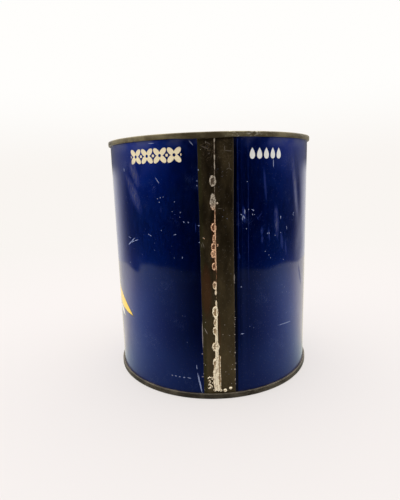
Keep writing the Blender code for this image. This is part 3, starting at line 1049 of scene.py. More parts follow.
DULL_MARKS = (
    ((15.7, 109.3), (16.4, 101.4), 1.9), ((26.8, 97.6), (26.8, 93.6), 1.7),
    ((27.0, 92.9), (27.0, 88.9), 1.3), ((41.0, 92.9), (42.1, 84.3), 2.2),
    ((31.2, 96.5), (32.0, 90.0), 1.1), ((44.6, 88.0), (45.4, 80.0), 1.2),
    ((28.1, 128.2), (29.5, 113.4), 1.4), ((24.2, 102.6), (26.8, 105.6), 0.5),
    ((23.3, 103.9), (24.6, 102.1), 0.5), ((-10.0, 101.6), (-10.1, 97.0), 0.5),
    ((-29.4, 110.2), (-29.5, 107.0), 0.5), ((13.2, 84.4), (13.3, 81.4), 0.7),
    ((61.0, 70.0), (66.0, 58.0), 2.4), ((118.0, 124.0), (146.0, 130.0), 2.2),
    ((-96.0, 30.0), (-84.0, 22.0), 3.0), ((-182.0, 60.0), (-168.0, 44.0), 3.2),
)
CREASE_HIGHLIGHTS = (
    # distance round from the lap, half width and strength of the pale lines painted on the crease as
    # highlights
    (12.7, 0.28, 0.3), (18.5, 0.24, 0.42), (14.9, 0.16, 0.12),
)
CREASE_SPAN = (60, 96)
WISP_TURN = math.radians(52)
STRIP_MARKS_SPAN = (100, 60)
BURNT_REACH = 1.7
BURNT_SOFTNESS = 0.5
NAVY_BURNT = (0.0004, 0.002, 0.022, 1.0)
STRIP_SPOTS = (
    # the upper left end of a short slanting mark, and its width
    (10.2, 48.5, 0.6), (10.2, 47.3, 0.6), (9.8, 44.6, 0.5), (9.9, 38.6, 0.6), (10.0, 33.8, 0.4),
    (10.0, 27.8, 0.8), (10.2, 21.3, 0.7), (8.4, 20.6, 0.5), (7.8, 17.9, 0.5), (4.4, 16.5, 0.45),
    (3.2, 39.0, 0.5), (7.0, 38.2, 0.45), (4.3, 44.7, 0.4), (-6.3, 46.3, 0.5), (-7.0, 20.8, 0.55),
    (-8.6, 27.6, 0.8), (7.0, 28.5, 0.45), (7.7, 9.0, 0.45), (10.1, 68.5, 0.6), (9.8, 83.9, 0.4),
)
SPOT_LENGTH = 0.2
STRIP_MARKS = (
    ((9.6, 17.6), (10.0, 17.4), 1.0), ((-8.0, 46.0), (-8.1, 31.5), 0.5),
    ((-9.3, 13.3), (-7.9, 13.5), 0.5), ((10.15, 73.3), (10.15, 69.0), 0.55),
    ((5.9, 140.9), (6.0, 138.2), 0.5), ((5.6, 138.5), (10.0, 138.1), 0.45),
    ((6.7, 129.0), (8.1, 129.7), 0.45), ((8.1, 129.7), (9.7, 128.4), 0.45),
    ((8.2, 132.2), (8.3, 129.8), 0.35), ((-3.9, 143.3), (-1.2, 141.6), 0.6),
    ((-6.1, 141.1), (-2.1, 139.3), 0.5), ((-2.5, 136.9), (-1.5, 137.5), 0.6),
    ((1.8, 109.1), (4.1, 109.0), 0.45), ((-6.9, 93.9), (-5.5, 93.9), 0.5),
    ((-6.8, 42.7), (-5.3, 39.5), 0.35), ((-6.6, 91.2), (-5.9, 88.6), 0.4),
    ((-7.3, 90.6), (-7.0, 88.4), 0.3),
    *(((x, y), (x + SPOT_LENGTH, y - SPOT_LENGTH), width) for x, y, width in STRIP_SPOTS),
)
# Greyish smudges on the lacquer, which on the upper left and right also paint the reflections of light
# patches there.
SMEARS_AND_REFLECTIONS = (
    ((-53.4, 125.0), (-45.4, 109.6), 5.6), ((-49.9, 134.0), (-45.6, 123.0), 4.6),
    ((-55.4, 126.4), (-51.0, 118.0), 2.4), ((50.8, 132.5), (57.3, 105.6), 3.6),
    ((36.4, 107.0), (37.7, 92.6), 2.6),
)
MARK_BRIGHT = linear(158, 170, 204)
MARK_DULL = linear(62, 66, 96)
SMEAR_AND_REFLECTION_COLOR = linear(88, 88, 104)
RIM_HAZE = linear(108, 110, 112)
RIM_HAZE_SPAN = (138.5, 144.6)
RIM_HAZE_MOST = 0.34
FOOT_HAZE = linear(98, 112, 92)
FOOT_HAZE_SPAN = (42, 4)
FOOT_HAZE_MOST = 0.075
WISPS_MOST = 0.16

print(len(BRIGHT_MARKS), "bright marks and", len(DULL_MARKS), "dull ones")


# %% Masks of the marks
def mark_mask(recipe, sheet, place, marks, softness):
    """The strokes of a list, broken up by grain, as a scratch skips over the lacquer."""
    field = recipe.smallest(stroke(recipe, place, *mark) for mark in marks)
    grain = recipe.noise(sheet, 1.6, 3.0, 0.7)
    rough = recipe.times_plus(grain, 1.6, -0.8)
    return inside(recipe, recipe.plus(field, rough), softness)


def crease_highlight_mask(recipe, sheet, place):
    """Thin upright lines of painted highlight on the crease, stronger in the upper half."""
    lines = []
    for around, half_width, strength in CREASE_HIGHLIGHTS:
        away = recipe.gap(place[0], around)
        lines.append(recipe.step(away, half_width, 0.3 * half_width, 0.0, strength))
    found = recipe.larger(recipe.larger(lines[0], lines[1]), lines[2])
    broken = recipe.noise(recipe.stretch(sheet, (0.2, 1, 1)), 0.09, 3.0)
    broken = recipe.step(broken, 0.36, 0.6, 0.25, 1.0)
    found = recipe.times(found, broken)
    return recipe.times(found, recipe.step(place[1], *CREASE_SPAN, 0.4, 1.0))


def wisp_mask(recipe, sheet):
    """Faint hairlines in all directions, in a few cloudy patches."""
    turned = recipe.node("ShaderNodeVectorRotate", {"Vector": sheet, "Angle": WISP_TURN},
                         rotation_type="Z_AXIS").outputs[0]
    hair = None
    for place, stretched in ((sheet, (0.9, 0.09, 1)), (turned, (0.8, 0.08, 1))):
        grain = recipe.noise(recipe.stretch(place, stretched), 1.3, 2.0, 0.6)
        line = recipe.step(recipe.gap(grain, 0.5), 0.012, 0.002)
        hair = recipe.larger(hair, line) if hair else line
    patches = recipe.step(recipe.noise(sheet, 0.055, 3.0, 0.6), 0.54, 0.66)
    return recipe.times(hair, patches)


def speck_mask(recipe, sheet):
    """Tiny chips all over the lacquer, in loose groups."""
    spots = recipe.step(recipe.cells(sheet, 0.42), 0.115, 0.06)
    groups = recipe.step(recipe.noise(sheet, 0.075, 2.0), 0.52, 0.68)
    return recipe.times(spots, groups)


print(len(STRIP_MARKS), "marks on the bare strip")

# %% [markdown]
# ## The lacquer
# Everything meets here: navy lacquer over metal, the inks on it, the bare strip, and the marks.
# Navy is a clear blue lacquer on bright tinplate, so it is a blue metal, a little rough, under a
# sharp clear coat: its blue comes and goes with what it mirrors. The other inks are opaque and
# hide the metal. Bare metal is rougher, and a hazy film of fine scratches makes the gloss uneven.

# %% Lacquer material
NAVY = (0.0015, 0.024, 0.29, 1.0)
NAVY_RUBBED = (0.004, 0.036, 0.32, 1.0)
NAVY_METAL = 1.0
NAVY_ROUGHNESS = 0.36


def lacquer_finish():
    """The printed and worn sheet."""
    material, recipe, shader = new_finish("printed_lacquer")
    sheet, place = lacquer_ruler(recipe)
    cloud = recipe.noise(sheet, 0.035, 3.0, 0.6)
    inks = Print(recipe, recipe.mix(recipe.step(cloud, 0.35, 0.7), NAVY, NAVY_RUBBED))
    print_picture(recipe, place, inks)
    print_notes(recipe, place, inks)
    inks.lay(frieze_mask(recipe, place), INK_CREAM)
    inks.lay(drops_mask(recipe, place), INK_WHITE)

    dull = mark_mask(recipe, sheet, place, DULL_MARKS, 0.9)
    inks.lay(recipe.times(dull, 0.4), MARK_DULL)
    streaks = recipe.noise(recipe.stretch(sheet, (1, 0.3, 1)), 0.9, 3.0, 0.7)
    streaks = recipe.step(streaks, 0.36, 0.62, 0.22, 0.85)
    # Painted reflection: besides the smudges, these paint light patches reflected high on both sides of
    # the wall.
    smears_and_reflections = mark_mask(recipe, sheet, place, SMEARS_AND_REFLECTIONS, 1.7)
    inks.lay(recipe.times(smears_and_reflections, streaks), SMEAR_AND_REFLECTION_COLOR)
    haze = recipe.step(place[1], *RIM_HAZE_SPAN, 0.0, RIM_HAZE_MOST)
    inks.lay(recipe.times(haze, recipe.step(recipe.noise(sheet, 0.09, 3.0), 0.35, 0.6)), RIM_HAZE)
    inks.lay(recipe.times(wisp_mask(recipe, sheet), WISPS_MOST), MARK_BRIGHT)
    # Painted highlight: pale lines on the crease, where its bends catch the light.
    inks.lay(crease_highlight_mask(recipe, sheet, place), MARK_DULL)
    inks.lay(recipe.step(place[1], *FOOT_HAZE_SPAN, 0.0, FOOT_HAZE_MOST), FOOT_HAZE)

    side = strip_side(recipe, sheet, place)
    past = recipe.times(recipe.minus(side, 1.0), (STRIP_RIGHT - STRIP_LEFT) / 2)
    ending = recipe.step(past, BURNT_REACH, BURNT_REACH - BURNT_SOFTNESS)
    burnt = recipe.times(recipe.step(past, -0.1, 0.0), ending)
    inks.tint(recipe.times(burnt, 0.85), NAVY_BURNT)
    bare = recipe.step(recipe.magnitude(side), 1.008, 0.992)
    inks.lay(bare, strip_color(recipe, sheet, place, side))

    bright = mark_mask(recipe, sheet, place, BRIGHT_MARKS, 0.3)
    specks = recipe.times(speck_mask(recipe, sheet), 0.7)
    scratched = recipe.larger(bright, specks)
    inks.lay(recipe.times(scratched, 0.8), MARK_BRIGHT)
    inks.lay(fleck_mask(recipe, sheet, place[1], side), STRIP_FLECK)
    flecked = mark_mask(recipe, sheet, place, STRIP_MARKS, 0.6)
    fainter_above = recipe.step(place[1], *STRIP_MARKS_SPAN, 0.13, 0.62)
    inks.lay(recipe.times(flecked, fainter_above), STRIP_FLECK)
    recipe.feed(shader["Base Color"], inks.color)
    recipe.feed(shader["Metallic"], recipe.blend(inks.cover, NAVY_METAL, recipe.times(bare, 0.2)))

    haze = recipe.noise(recipe.stretch(sheet, (1.0, 0.25, 1.0)), 0.5, 4.0, 0.7)
    gloss = recipe.step(haze, 0.3, 0.8, NAVY_ROUGHNESS - 0.04, NAVY_ROUGHNESS + 0.05)
    gloss = recipe.blend(bare, gloss, recipe.step(haze, 0.3, 0.7, 0.40, 0.52))
    recipe.feed(shader["Roughness"], recipe.blend(scratched, gloss, 0.5))
    shader["Coat Roughness"].default_value = 0.06
    worn = recipe.larger(bare, recipe.larger(scratched, dull))
    recipe.feed(shader["Coat Weight"], recipe.times_plus(worn, -0.85, 1.0))
    shader["Specular IOR Level"].default_value = 0.2

    peel = recipe.noise(sheet, 0.8, 2.0)
    rust = recipe.times(recipe.noise(sheet, 1.4, 5.0, 0.7), bare)
    height = recipe.times_plus(peel, 0.05, recipe.times(rust, 0.8))
    height = recipe.minus(height, recipe.times(scratched, 0.6))
    recipe.feed(shader["Normal"], recipe.bump(height, 0.04 * MM, 0.6))
    return material


lacquer = lacquer_finish()
add_piece("printed_body", body_shape, lacquer, ["can_body"])
print("the lacquer has", len(lacquer.node_tree.nodes), "nodes")

# %% [markdown]
# ## Ring, lid and bottom
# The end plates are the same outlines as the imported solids, turned with more steps and with the
# folds truly round. A seaming roller never leaves a perfect circle, so their points move by a few
# hundredths of a millimetre. At the lap the seam has twice the metal to fold, and it sags there.

# %% Seam relief
RING_STEPS = 384
ROLLER_DEPTH = 0.05
PRESSED_FLAT_WITHIN = 20 * MM
SAG_MIDDLE = -5.5
SAG_HALF_WIDTH = 11.0
SAG_DEPTH = 0.55


def roller_marks(shape, seed, sag_from=None, sag_to=None):
    """Makes a turned seam a little uneven, and lets its lower edge sag at the lap."""
    for vert in shape.verts:
        angle = around_of(vert.co)
        away = vert.co.xy.length
        if away < PRESSED_FLAT_WITHIN:
            continue
        trip = Vector((math.cos(angle), math.sin(angle), 0))
        uneven = noise.noise(trip * 11 + Vector((seed, 0, vert.co.z * 160)))
        fine = noise.noise(trip * 70 + Vector((seed, 7, vert.co.z * 400)))
        shift = (ROLLER_DEPTH * uneven + 0.25 * ROLLER_DEPTH * fine - 0.6 * ROLLER_DEPTH) * MM
        vert.co += outward(angle) * shift
        if sag_from is not None and away > BODY_RADIUS + 0.1 * MM:
            low = 1 - soft_step(vert.co.z, sag_from, sag_to)
            from_middle = (angle * BODY_RADIUS / MM - SAG_MIDDLE) / SAG_HALF_WIDTH
            ragged = 1 + 0.7 * lumps(angle * BODY_RADIUS / MM * 0.55, seed, 0)
            vert.co.z -= SAG_DEPTH * MM * low * ragged * math.exp(-from_middle ** 4)


def kept_in(corners):
    """The same outline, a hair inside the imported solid's own box."""
    top, rim = HEIGHT / MM, RIM_RADIUS / MM
    slack = CLEARANCE / MM
    return [(min(radius, rim - slack), min(max(height, slack), top - slack), rounding)
            for radius, height, rounding in corners]


# %% Top ring
def make_ring_shape():
    """The double seam, the sunken ring with its step, and the neck of the mouth."""
    top, rim, radius = HEIGHT / MM, RIM_RADIUS / MM, BODY_RADIUS / MM
    corners = (
        (radius + 0.15, top - 2.8, 0),
        (rim - 0.1, top - 2.9, 0.4),
        (rim, top - 1.7, 1.1),
        (rim, top, 0.6),
        (61.5, top, 0.7),
        (61.35, top - 3.8, 0.6),
        (58.6, top - 3.8, 0.5),
        (57.9, top - 3.45, 0.5),
        (54.4, top - 3.45, 0.5),
        (53.6, top - 3.8, 0.5),
        (53.1, top - 3.8, 0.2),
        (52.7, top - 2.4, 0.3),
        (51.2, top - 2.4, 0.4),
        (51.2, top - 7.5, 0),
        (52.0, top - 7.5, 0),
        (52.0, top - 4.6, 0),
        (radius - 0.9, top - 4.6, 0),
        (radius - 0.9, top - 0.8, 0),
        (radius + 0.15, top - 0.8, 0),
    )
    shape = turn(finely(outline(kept_in(corners), closed=True), 1.0 * MM), True, RING_STEPS)
    roller_marks(shape, 3.0, HEIGHT - 2.9 * MM, HEIGHT - 2.0 * MM)
    return shape


RUST_SPECK = linear(64, 44, 26)


def tinplate_finish(name, dark, light, worn, wear_share, metallic, rough):
    """Old tinplate: cloudy tarnish, rust specks, and bright spots where fingers and shelves rub."""
    material, recipe, shader = new_finish(name)
    place = recipe.object_place()
    cloud = recipe.noise(place, 70, 5.0, 0.65)
    color = recipe.mix(recipe.step(cloud, 0.38, 0.62), dark, light)
    grain = recipe.noise(recipe.stretch(place, (1, 1, 2.0)), 520, 4.0, 0.7)
    patches = recipe.noise(place, 42, 2.0)
    rubbed = recipe.times(recipe.step(grain, 0.52, 0.66), recipe.step(patches, 0.5, 0.64))
    color = recipe.mix(recipe.times(rubbed, wear_share), color, worn)
    rust = recipe.step(recipe.noise(place, 260, 3.0, 0.6), 0.60, 0.72)
    color = recipe.mix(recipe.times(rust, 0.7), color, RUST_SPECK)
    recipe.feed(shader["Base Color"], color)
    recipe.feed(shader["Metallic"], recipe.times(recipe.minus(1.0, rust), metallic))
    uneven = recipe.step(cloud, 0.3, 0.7, rough - 0.06, rough + 0.12)
    recipe.feed(shader["Roughness"], recipe.blend(rust, uneven, 0.75))
    recipe.feed(shader["Normal"], recipe.bump(grain, 0.06 * MM, 0.7))
    return material


ring_plate = tinplate_finish("tarnished_ring", linear(84, 74, 52), linear(128, 118, 88),
                             linear(206, 200, 180), 0.9, 0.55, 0.42)
add_piece("ring_and_top_seam", make_ring_shape(), ring_plate, ["top_ring"])

# %% Lever lid
def pressed_groove(radius, level, depth, half_width=1.6, slope=0.9):
    """The corners of a shallow ring pressed in a panel, from its inner side outwards."""
    return (
        (radius - half_width - slope, level, 0.5),
        (radius - half_width, level + depth, 0.5),
        (radius + half_width, level + depth, 0.5),
        (radius + half_width + slope, level, 0.5),
    )


def make_lid_shape():
    """The lid: a curled flange that rests on the mouth, a groove, and a panel with a pressed ring."""
    top = HEIGHT / MM
    corners = (
        (0, top - 3.0, 0),
        (8.0, top - 3.0, 0),
        (20.0, top - 3.0, 0),
        *pressed_groove(34.0, top - 3.0, -0.5),
        (46.6, top - 3.0, 0.8),
        (47.4, top - 5.0, 0.6),
        (48.8, top - 5.0, 0.6),
        (49.6, top - 1.2, 0.5),
        (54.5, top - 1.2, 0.7),
        (54.5, top - 3.1, 0.3),
        (53.7, top - 3.1, 0.2),
        (53.6, top - 2.1, 0),
        (50.9, top - 2.1, 0),
        (50.9, top - 7.5, 0),
        (0, top - 7.5, 0),
    )
    shape = turn(outline(corners, closed=False), False, RING_STEPS)
    roller_marks(shape, 11.0)
    return shape


lid_plate = tinplate_finish("dull_gold_lid", linear(122, 112, 84), linear(166, 156, 126),
                            linear(214, 208, 190), 0.6, 0.85, 0.3)
add_piece("pressed_lid", make_lid_shape(), lid_plate, ["lever_lid"])

# %% Bottom end
def make_bottom_shape():
    """The bottom seam, the groove inside it, and a panel with two pressed rings."""
    rim, radius = RIM_RADIUS / MM, BODY_RADIUS / MM
    corners = (
        (0, 3.1, 0),
        (10.0, 3.1, 0),
        (22.0, 3.1, 0),
        *pressed_groove(31.0, 3.1, 0.5),
        *pressed_groove(47.0, 3.1, 0.5),
        (57.5, 3.1, 0.5),
        (58.3, 4.0, 0.5),
        (61.4, 4.0, 0.7),
        (61.5, 0, 0.7),
        (rim, 0, 0.75),
        (rim, 2.0, 1.2),
        (rim - 0.1, 3.4, 0.45),
        (radius + 0.15, 3.3, 0),
        (radius + 0.15, 0.8, 0),
        (radius - 0.9, 0.8, 0),
        (radius - 0.9, 4.8, 0),
        (0, 4.8, 0),
    )
    shape = turn(finely(outline(kept_in(corners), closed=False), 1.0 * MM), False, RING_STEPS)
    roller_marks(shape, 21.0)
    lowest = min(vert.co.z for vert in shape.verts)
    print("the bottom stands", round(lowest / MM, 3), "mm above the table")
    return shape


base_plate = tinplate_finish("dark_base", linear(58, 51, 41), linear(94, 86, 71),
                             linear(132, 124, 110), 0.5, 0.5, 0.5)
add_piece("bottom_and_seam", make_bottom_shape(), base_plate, ["bottom_end"])

# %% [markdown]
# ## Solder
# The solder was wiped along the lap by hand: a thin thread follows the edge of the sheet, and
# lobes of it have run out to the left and stand there like beads, each with a raised rim and a
# sunken middle. A grid is bent along the lap. Its left and right edges follow the outline of the
# thread and of every lobe, and its height follows how full the solder is.

# %% Outline of the solder
THREAD = (
    # height, middle and half width of the thread, in millimetres from the lap, and how much of it is left
    (3.9, -0.1, 1.7, 1.0), (7.5, -0.2, 1.6, 1.0), (10.0, -0.5, 1.1, 1.0), (20.0, -0.35, 1.0, 1.0),
    (28.0, -0.2, 1.05, 1.0), (36.0, -0.3, 0.8, 0.95), (44.0, -0.1, 0.6, 0.9), (49.0, 0.1, 0.45, 0.9),
    (55.5, 0.2, 0.4, 0.85), (57.5, 0.0, 0.3, 0.9), (59.4, 0.1, 0.12, 0.0), (61.8, 0.0, 0.15, 0.0),
    (64.0, -0.1, 0.3, 1.0), (68.0, 0.2, 0.3, 0.8), (70.2, 0.3, 0.2, 0.0), (72.3, 0.4, 0.2, 0.25),
    (74.6, 0.4, 0.16, 0.0), (76.5, 0.35, 0.35, 0.9), (82.0, 0.1, 0.42, 1.0), (95.0, 0.2, 0.42, 1.0),
    (102.0, 0.2, 0.38, 0.8), (105.0, 0.25, 0.32, 0.6), (112.0, 0.4, 0.28, 0.45),
    (118.7, 0.4, 0.2, 0.35), (122.0, 0.5, 0.25, 0.5), (127.0, 0.5, 0.25, 0.45), (129.0, 0.6, 0.22, 0.4),
    (130.3, 0.65, 0.34, 1.0), (131.6, 0.6, 0.32, 1.0), (133.4, 0.6, 0.24, 0.35),
    (135.4, 0.65, 0.36, 1.0), (137.0, 0.65, 0.22, 0.35), (141.0, 0.7, 0.3, 0.6),
    (142.3, 0.7, 0.24, 0.35), (143.6, 0.8, 0.42, 1.0), (145.6, 0.8, 0.34, 0.5),
)
LOBES = (
    # lowest and highest point, reach to the left and to the right, and how far the middle is sunk
    (4.3, 21.2, -2.7, 0.7, 0.25), (19.5, 24.9, -2.6, 0.2, 0.75), (29.1, 34.7, -2.9, 1.3, 0.5),
    (38.7, 43.9, -2.2, 0.1, 0.6), (43.5, 48.3, -1.7, 0.3, 0.6), (48.4, 55.9, -2.2, 1.0, 0.65),
    (56.0, 58.8, -0.6, 0.5, 0.0), (62.0, 64.7, -0.7, 0.4, 0.0), (65.2, 69.9, -1.7, 0.4, 0.6),
    (75.8, 80.1, -1.9, 0.5, 0.6), (82.6, 86.8, -2.3, 0.6, 0.4), (86.4, 91.0, -2.1, 0.6, 0.65),
    (91.0, 95.4, -1.3, 0.5, 0.5), (96.7, 101.6, -2.0, 1.0, 0.6), (108.2, 116.8, -2.2, 0.9, 0.4),
    (120.3, 126.3, -2.3, 1.3, 0.6),
)
SIDE_THREAD_MIDDLE = 1.5
SIDE_THREAD_HALF = 0.3
SIDE_THREAD_TOP = 27.0
RIM_AT = 0.78
RIM_WIDTH = 0.2
SOLDER_ROWS = 640
SOLDER_COLUMNS = 20
SOLDER_FOOT = 5.2
SOLDER_HEAD = 145.2
SOLDER_LEAST = 0.05
SOLDER_CROWN = 0.6
SOLDER_BACK = -0.25


def between(points, value):
    """The other numbers of a list of rows at a value of their first number."""
    for before, after in zip(points, points[1:]):
        if value <= after[0]:
            share = max(0.0, (value - before[0]) / (after[0] - before[0]))
            return [a + (b - a) * share for a, b in zip(before[1:], after[1:])]
    return points[-1][1:]


def side_thread(height):
    """Where the thin second thread beside the foot runs, and how much there is of it, at a height."""
    middle = SIDE_THREAD_MIDDLE + 0.3 * lumps(height * 0.21, 3, 4)
    patchy = 0.8 + 0.6 * lumps(height * 0.6, 8, 1)
    return middle, min(1.0, patchy) * soft_step(SIDE_THREAD_TOP - height, 0, 2) * soft_step(height, 4, 7)


def solder_edges(height):
    """The left and right edge of the solder at a height."""
    middle, half = between(THREAD, height)[:2]
    ragged = 0.12 * lumps(height * 1.3, 2.0, 0)
    left, right = middle - half + ragged, middle + half + ragged
    for low, high, reach_left, reach_right, _ in LOBES:
        up = in_span(low, high, height)
        if abs(up) < 1:
            reach = math.sqrt(1 - up * up) * (1 + 0.1 * lumps(height * 0.9, low, 5))
            centre = (reach_left + reach_right) / 2
            left = min(left, centre + (reach_left - centre) * reach)
            right = max(right, centre + (reach_right - centre) * reach)
    beside, share = side_thread(height)
    return left, max(right, right + (beside + SIDE_THREAD_HALF - right) * min(1.0, 3 * share))


def solder_fill(around, height):
    """How full the solder is at a place: 1 on the thread and on a lobe's rim, 0 in a sunken middle."""
    middle, half, left_over = between(THREAD, height)
    fill, sink = left_over * math.exp(-abs((around - middle) / half) ** 3), 0.0
    for low, high, reach_left, reach_right, sunk in LOBES:
        up = in_span(low, high, height)
        if abs(up) < 1.2:
            across = in_span(reach_left, reach_right, around)
            uneven = 0.3 * lumps(around * 1.3, height * 1.3, low)
            away = math.hypot(across, up) + uneven
            rim = math.exp(-((away - RIM_AT) / RIM_WIDTH) ** 2) * (1 - 0.2 * max(0.0, across))
            inner = (1 - sunk) * soft_step(1 - away, 0, 0.2)
            bitten = 0.3 + 0.7 * soft_step(lumps(around * 1.7, height * 1.5, low + 20), -0.3, 0.2)
            fill = max(fill, rim, inner)
            sink = max(sink, sunk * bitten * math.exp(-(away / 0.5) ** 2))
    beside, share = side_thread(height)
    beside = math.exp(-((around - beside) / SIDE_THREAD_HALF) ** 2) * share
    grain = lumps(around * 2.2, height * 1.7, 9)
    return min(1.0, max(0.0, max(fill * (1 - sink), 0.85 * beside) + 0.34 * grain))


print("the solder has", len(LOBES), "lobes")

# %% Solder mesh
CRUMB_FILL = 0.8
CRUMB_FLATNESS = 0.55
SPATTER = (
    # left end, right end, lowest and highest point of a patch, how many crumbs, and their size
    (-5.5, -2.9, 6.2, 13.4, 26, 0.42), (1.9, 2.6, 4.6, 6.2, 2, 0.3), (-2.6, -1.2, 4.3, 5.6, 5, 0.34),
    (-7.0, -5.2, 93.0, 96.0, 2, 0.2), (1.5, 1.9, 111.4, 112.4, 2, 0.42),
    (1.2, 1.5, 88.4, 91.2, 3, 0.34), (-1.0, -0.7, 116.8, 117.4, 1, 0.32),
    (-1.9, 2.2, 4.4, 5.0, 6, 0.34), (-7.2, -3.4, 139.0, 144.0, 3, 0.2),
)


def on_wall(around, height, lift):
    """The point at a place of the wall, lifted off it, with the wall's own relief."""
    direction = outward(around * MM / BODY_RADIUS)
    foot = direction * BODY_RADIUS + Vector((0, 0, height * MM))
    return foot + direction * (wall_relief(foot) + lift * MM)


def set_on_wall(around, height):
    """The matrix that sets a small shape on a place of the wall, with its Z axis outwards."""
    facing = outward(around * MM / BODY_RADIUS).to_track_quat("Z", "Y").to_matrix().to_4x4()
    return Matrix.Translation(on_wall(around, height, 0.0)) @ facing


def new_solder():
    """An empty shape whose points know how full the solder is, and the layer that holds it."""
    shape = bmesh.new()
    return shape, shape.verts.layers.float.new("fill")


def lay_fill(shape, fill):
    """Gives a shape a UV map of how full the solder is at each point. Its material reads that."""
    layer = shape.loops.layers.uv.new("fill")
    for face in shape.faces:
        for corner in face.loops:
            corner[layer].uv = (corner.vert[fill], 0)


def wipe_solder(shape, full):
    """The thread and its lobes: a grid with a back, bent along the lap."""
    bmesh.ops.create_grid(shape, x_segments=SOLDER_COLUMNS, y_segments=SOLDER_ROWS, size=1)
    front = list(shape.faces)
    copied = bmesh.ops.extrude_face_region(shape, geom=front, use_keep_orig=True)
    backing = {part for part in copied["geom"] if isinstance(part, bmesh.types.BMVert)}
    for vert in shape.verts:
        across = vert.co.x
        height = SOLDER_FOOT + (SOLDER_HEAD - SOLDER_FOOT) * (vert.co.y + 1) / 2
        left, right = solder_edges(height)
        around = (left + right) / 2 + across * (right - left) / 2
        fill = vert[full] = solder_fill(around, height)
        step = LAP_STEP / MM * (1 - soft_step(around, -0.2, 0.0)) * soft_step(height, *SEAM_COVERS)
        crown = SOLDER_LEAST + SOLDER_CROWN * fill * (1 - 0.6 * across ** 8) + step * 0.8
        vert.co = on_wall(around, height, SOLDER_BACK if vert in backing else crown)


def add_crumb(shape, full, around, height, size, rng):
    """One crumb of spattered solder, a flattened ball pressed on the wall."""
    crumb = bmesh.ops.create_icosphere(shape, subdivisions=2, radius=size * MM)["verts"]
    stretch = Matrix.Diagonal((rng.uniform(0.7, 1.3), rng.uniform(0.8, 1.5), CRUMB_FLATNESS, 1))
    spin = Matrix.Rotation(rng.uniform(0, math.pi), 4, "Z")
    for vert in crumb:
        lumpy = noise.noise(vert.co * 1800 + Vector((around, height, 0)))
        vert.co *= 1 + 0.25 * lumpy
        vert[full] = CRUMB_FILL + 0.7 * lumpy
    bmesh.ops.transform(shape, matrix=set_on_wall(around, height) @ spin @ stretch, verts=crumb)


def make_solder_shape():
    """The wiped solder with the crumbs that spattered beside it."""
    shape, full = new_solder()
    wipe_solder(shape, full)
    rng = random.Random(7)
    for left, right, low, high, number, size in SPATTER:
        for _ in range(number):
            crumb_size = size * rng.uniform(0.6, 1.1)
            add_crumb(shape, full, rng.uniform(left, right), rng.uniform(low, high), crumb_size, rng)
    face_outwards(shape)
    lay_fill(shape, full)
    return shape


# %% [markdown]
# Fresh solder is silver. This one has aged: cream and thick at the foot of the seam, a coppery pink
# in the middle, where little of it was left, and grey at the top. Its hollows and the thin edges of
# its lobes are darker: dirt, and painted shade where the hollows fall dark. The
# colour follows the height, so the material reads the height from the object's own coordinates.

# %% Solder material
SOLDER_GAP_AND_SHADE = linear(52, 38, 20)
SOLDER_CREAM = linear(252, 238, 208)
SOLDER_PINK = linear(230, 186, 148)
SOLDER_GREY = linear(186, 174, 156)
DIRT_AND_SHADE_LOW = linear(166, 138, 100)
DIRT_AND_SHADE_MIDDLE = linear(112, 64, 32)
DIRT_AND_SHADE_HIGH = linear(84, 68, 50)
PINK_SPAN = (0.058, 0.078)
GREY_SPAN = (0.104, 0.114)


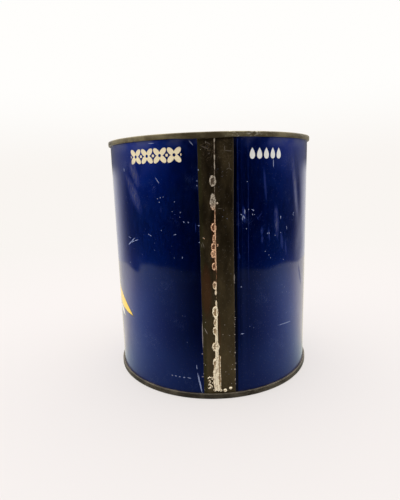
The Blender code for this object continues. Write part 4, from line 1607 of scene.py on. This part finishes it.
def solder_finish():
    """Old solder, coloured by height, with dirt in its pores, and darker where it is thin or sunk: dirt
    and painted shade.
    """
    material, recipe, shader = new_finish("old_solder")
    place = recipe.object_place()
    height = recipe.split(place)[2]
    cloud = recipe.times_plus(recipe.noise(place, 120, 3.0), 8 * MM, -4 * MM)
    height = recipe.plus(height, cloud)
    upper, top = recipe.step(height, *PINK_SPAN), recipe.step(height, *GREY_SPAN)
    color = recipe.mix(top, recipe.mix(upper, SOLDER_CREAM, SOLDER_PINK), SOLDER_GREY)
    dirt_and_shade = recipe.mix(top, recipe.mix(upper, DIRT_AND_SHADE_LOW, DIRT_AND_SHADE_MIDDLE), DIRT_AND_SHADE_HIGH)
    grain = recipe.noise(place, 900, 4.0, 0.65)
    fill = recipe.split(recipe.node("ShaderNodeUVMap", {}, uv_map="fill").outputs[0])[0]
    # Painted shade: where the solder is thin or sunk, its colour turns to the dirt and gap colours, which
    # stand for dirt and also for the shade of its hollows and edges.
    free_of_dirt_and_shade = recipe.step(recipe.times_plus(grain, -0.5, fill), 0.02, 0.46)
    color = recipe.mix(free_of_dirt_and_shade, dirt_and_shade, color)
    color = recipe.mix(recipe.step(fill, 0.14, 0.0), color, SOLDER_GAP_AND_SHADE)
    pores = recipe.noise(recipe.stretch(place, (1, 1, 0.6)), 700, 3.0, 0.7)
    color = recipe.mix(recipe.step(pores, 0.52, 0.62, 0.0, 0.62), color, dirt_and_shade)
    recipe.feed(shader["Base Color"], color)
    shader["Metallic"].default_value = 0.15
    recipe.feed(shader["Roughness"], recipe.step(grain, 0.3, 0.7, 0.34, 0.6))
    recipe.feed(shader["Normal"], recipe.bump(grain, 0.12 * MM, 0.8))
    return material


solder = solder_finish()
add_piece("wiped_solder", make_solder_shape(), solder, ["solder_seam"], sharp=60)

# %% Solder drops
SOLDER_DROPS = (
    # piece, node, distance round from the lap, height and radius in millimetres
    ("low_drop", "solder_drop_1", 4.04, 4.96, 1.05),
    ("side_drop", "solder_drop_2", 7.15, 6.13, 0.87),
)
SOLDER_DROP_FLATNESS = 0.62
DIMPLE_DEPTH = 0.38
DIMPLE_WIDTH = 0.38


def make_drop_shape(around, height, radius):
    """A drop that fell on the wall and set: a low dome with a dimple on top."""
    shape, full = new_solder()
    bmesh.ops.create_uvsphere(shape, u_segments=40, v_segments=24, radius=radius * MM)
    for vert in shape.verts:
        away = vert.co.xy.length / (radius * MM)
        lumpy = 1 + 0.16 * noise.noise(vert.co * 1300 + Vector((around, height, 0)))
        vert.co.x *= lumpy
        vert.co.y *= lumpy
        dimple = DIMPLE_DEPTH * math.exp(-(away / DIMPLE_WIDTH) ** 2) if vert.co.z > 0 else 0
        vert[full] = CRUMB_FILL - 1.1 * dimple + 2 * (lumpy - 1)
        vert.co.z *= SOLDER_DROP_FLATNESS * (1 - dimple)
    bmesh.ops.transform(shape, matrix=set_on_wall(around, height), verts=shape.verts)
    face_outwards(shape)
    lay_fill(shape, full)
    return shape


for name, node, around, height, radius in SOLDER_DROPS:
    add_piece(name, make_drop_shape(around, height, radius), solder, [node], sharp=60)
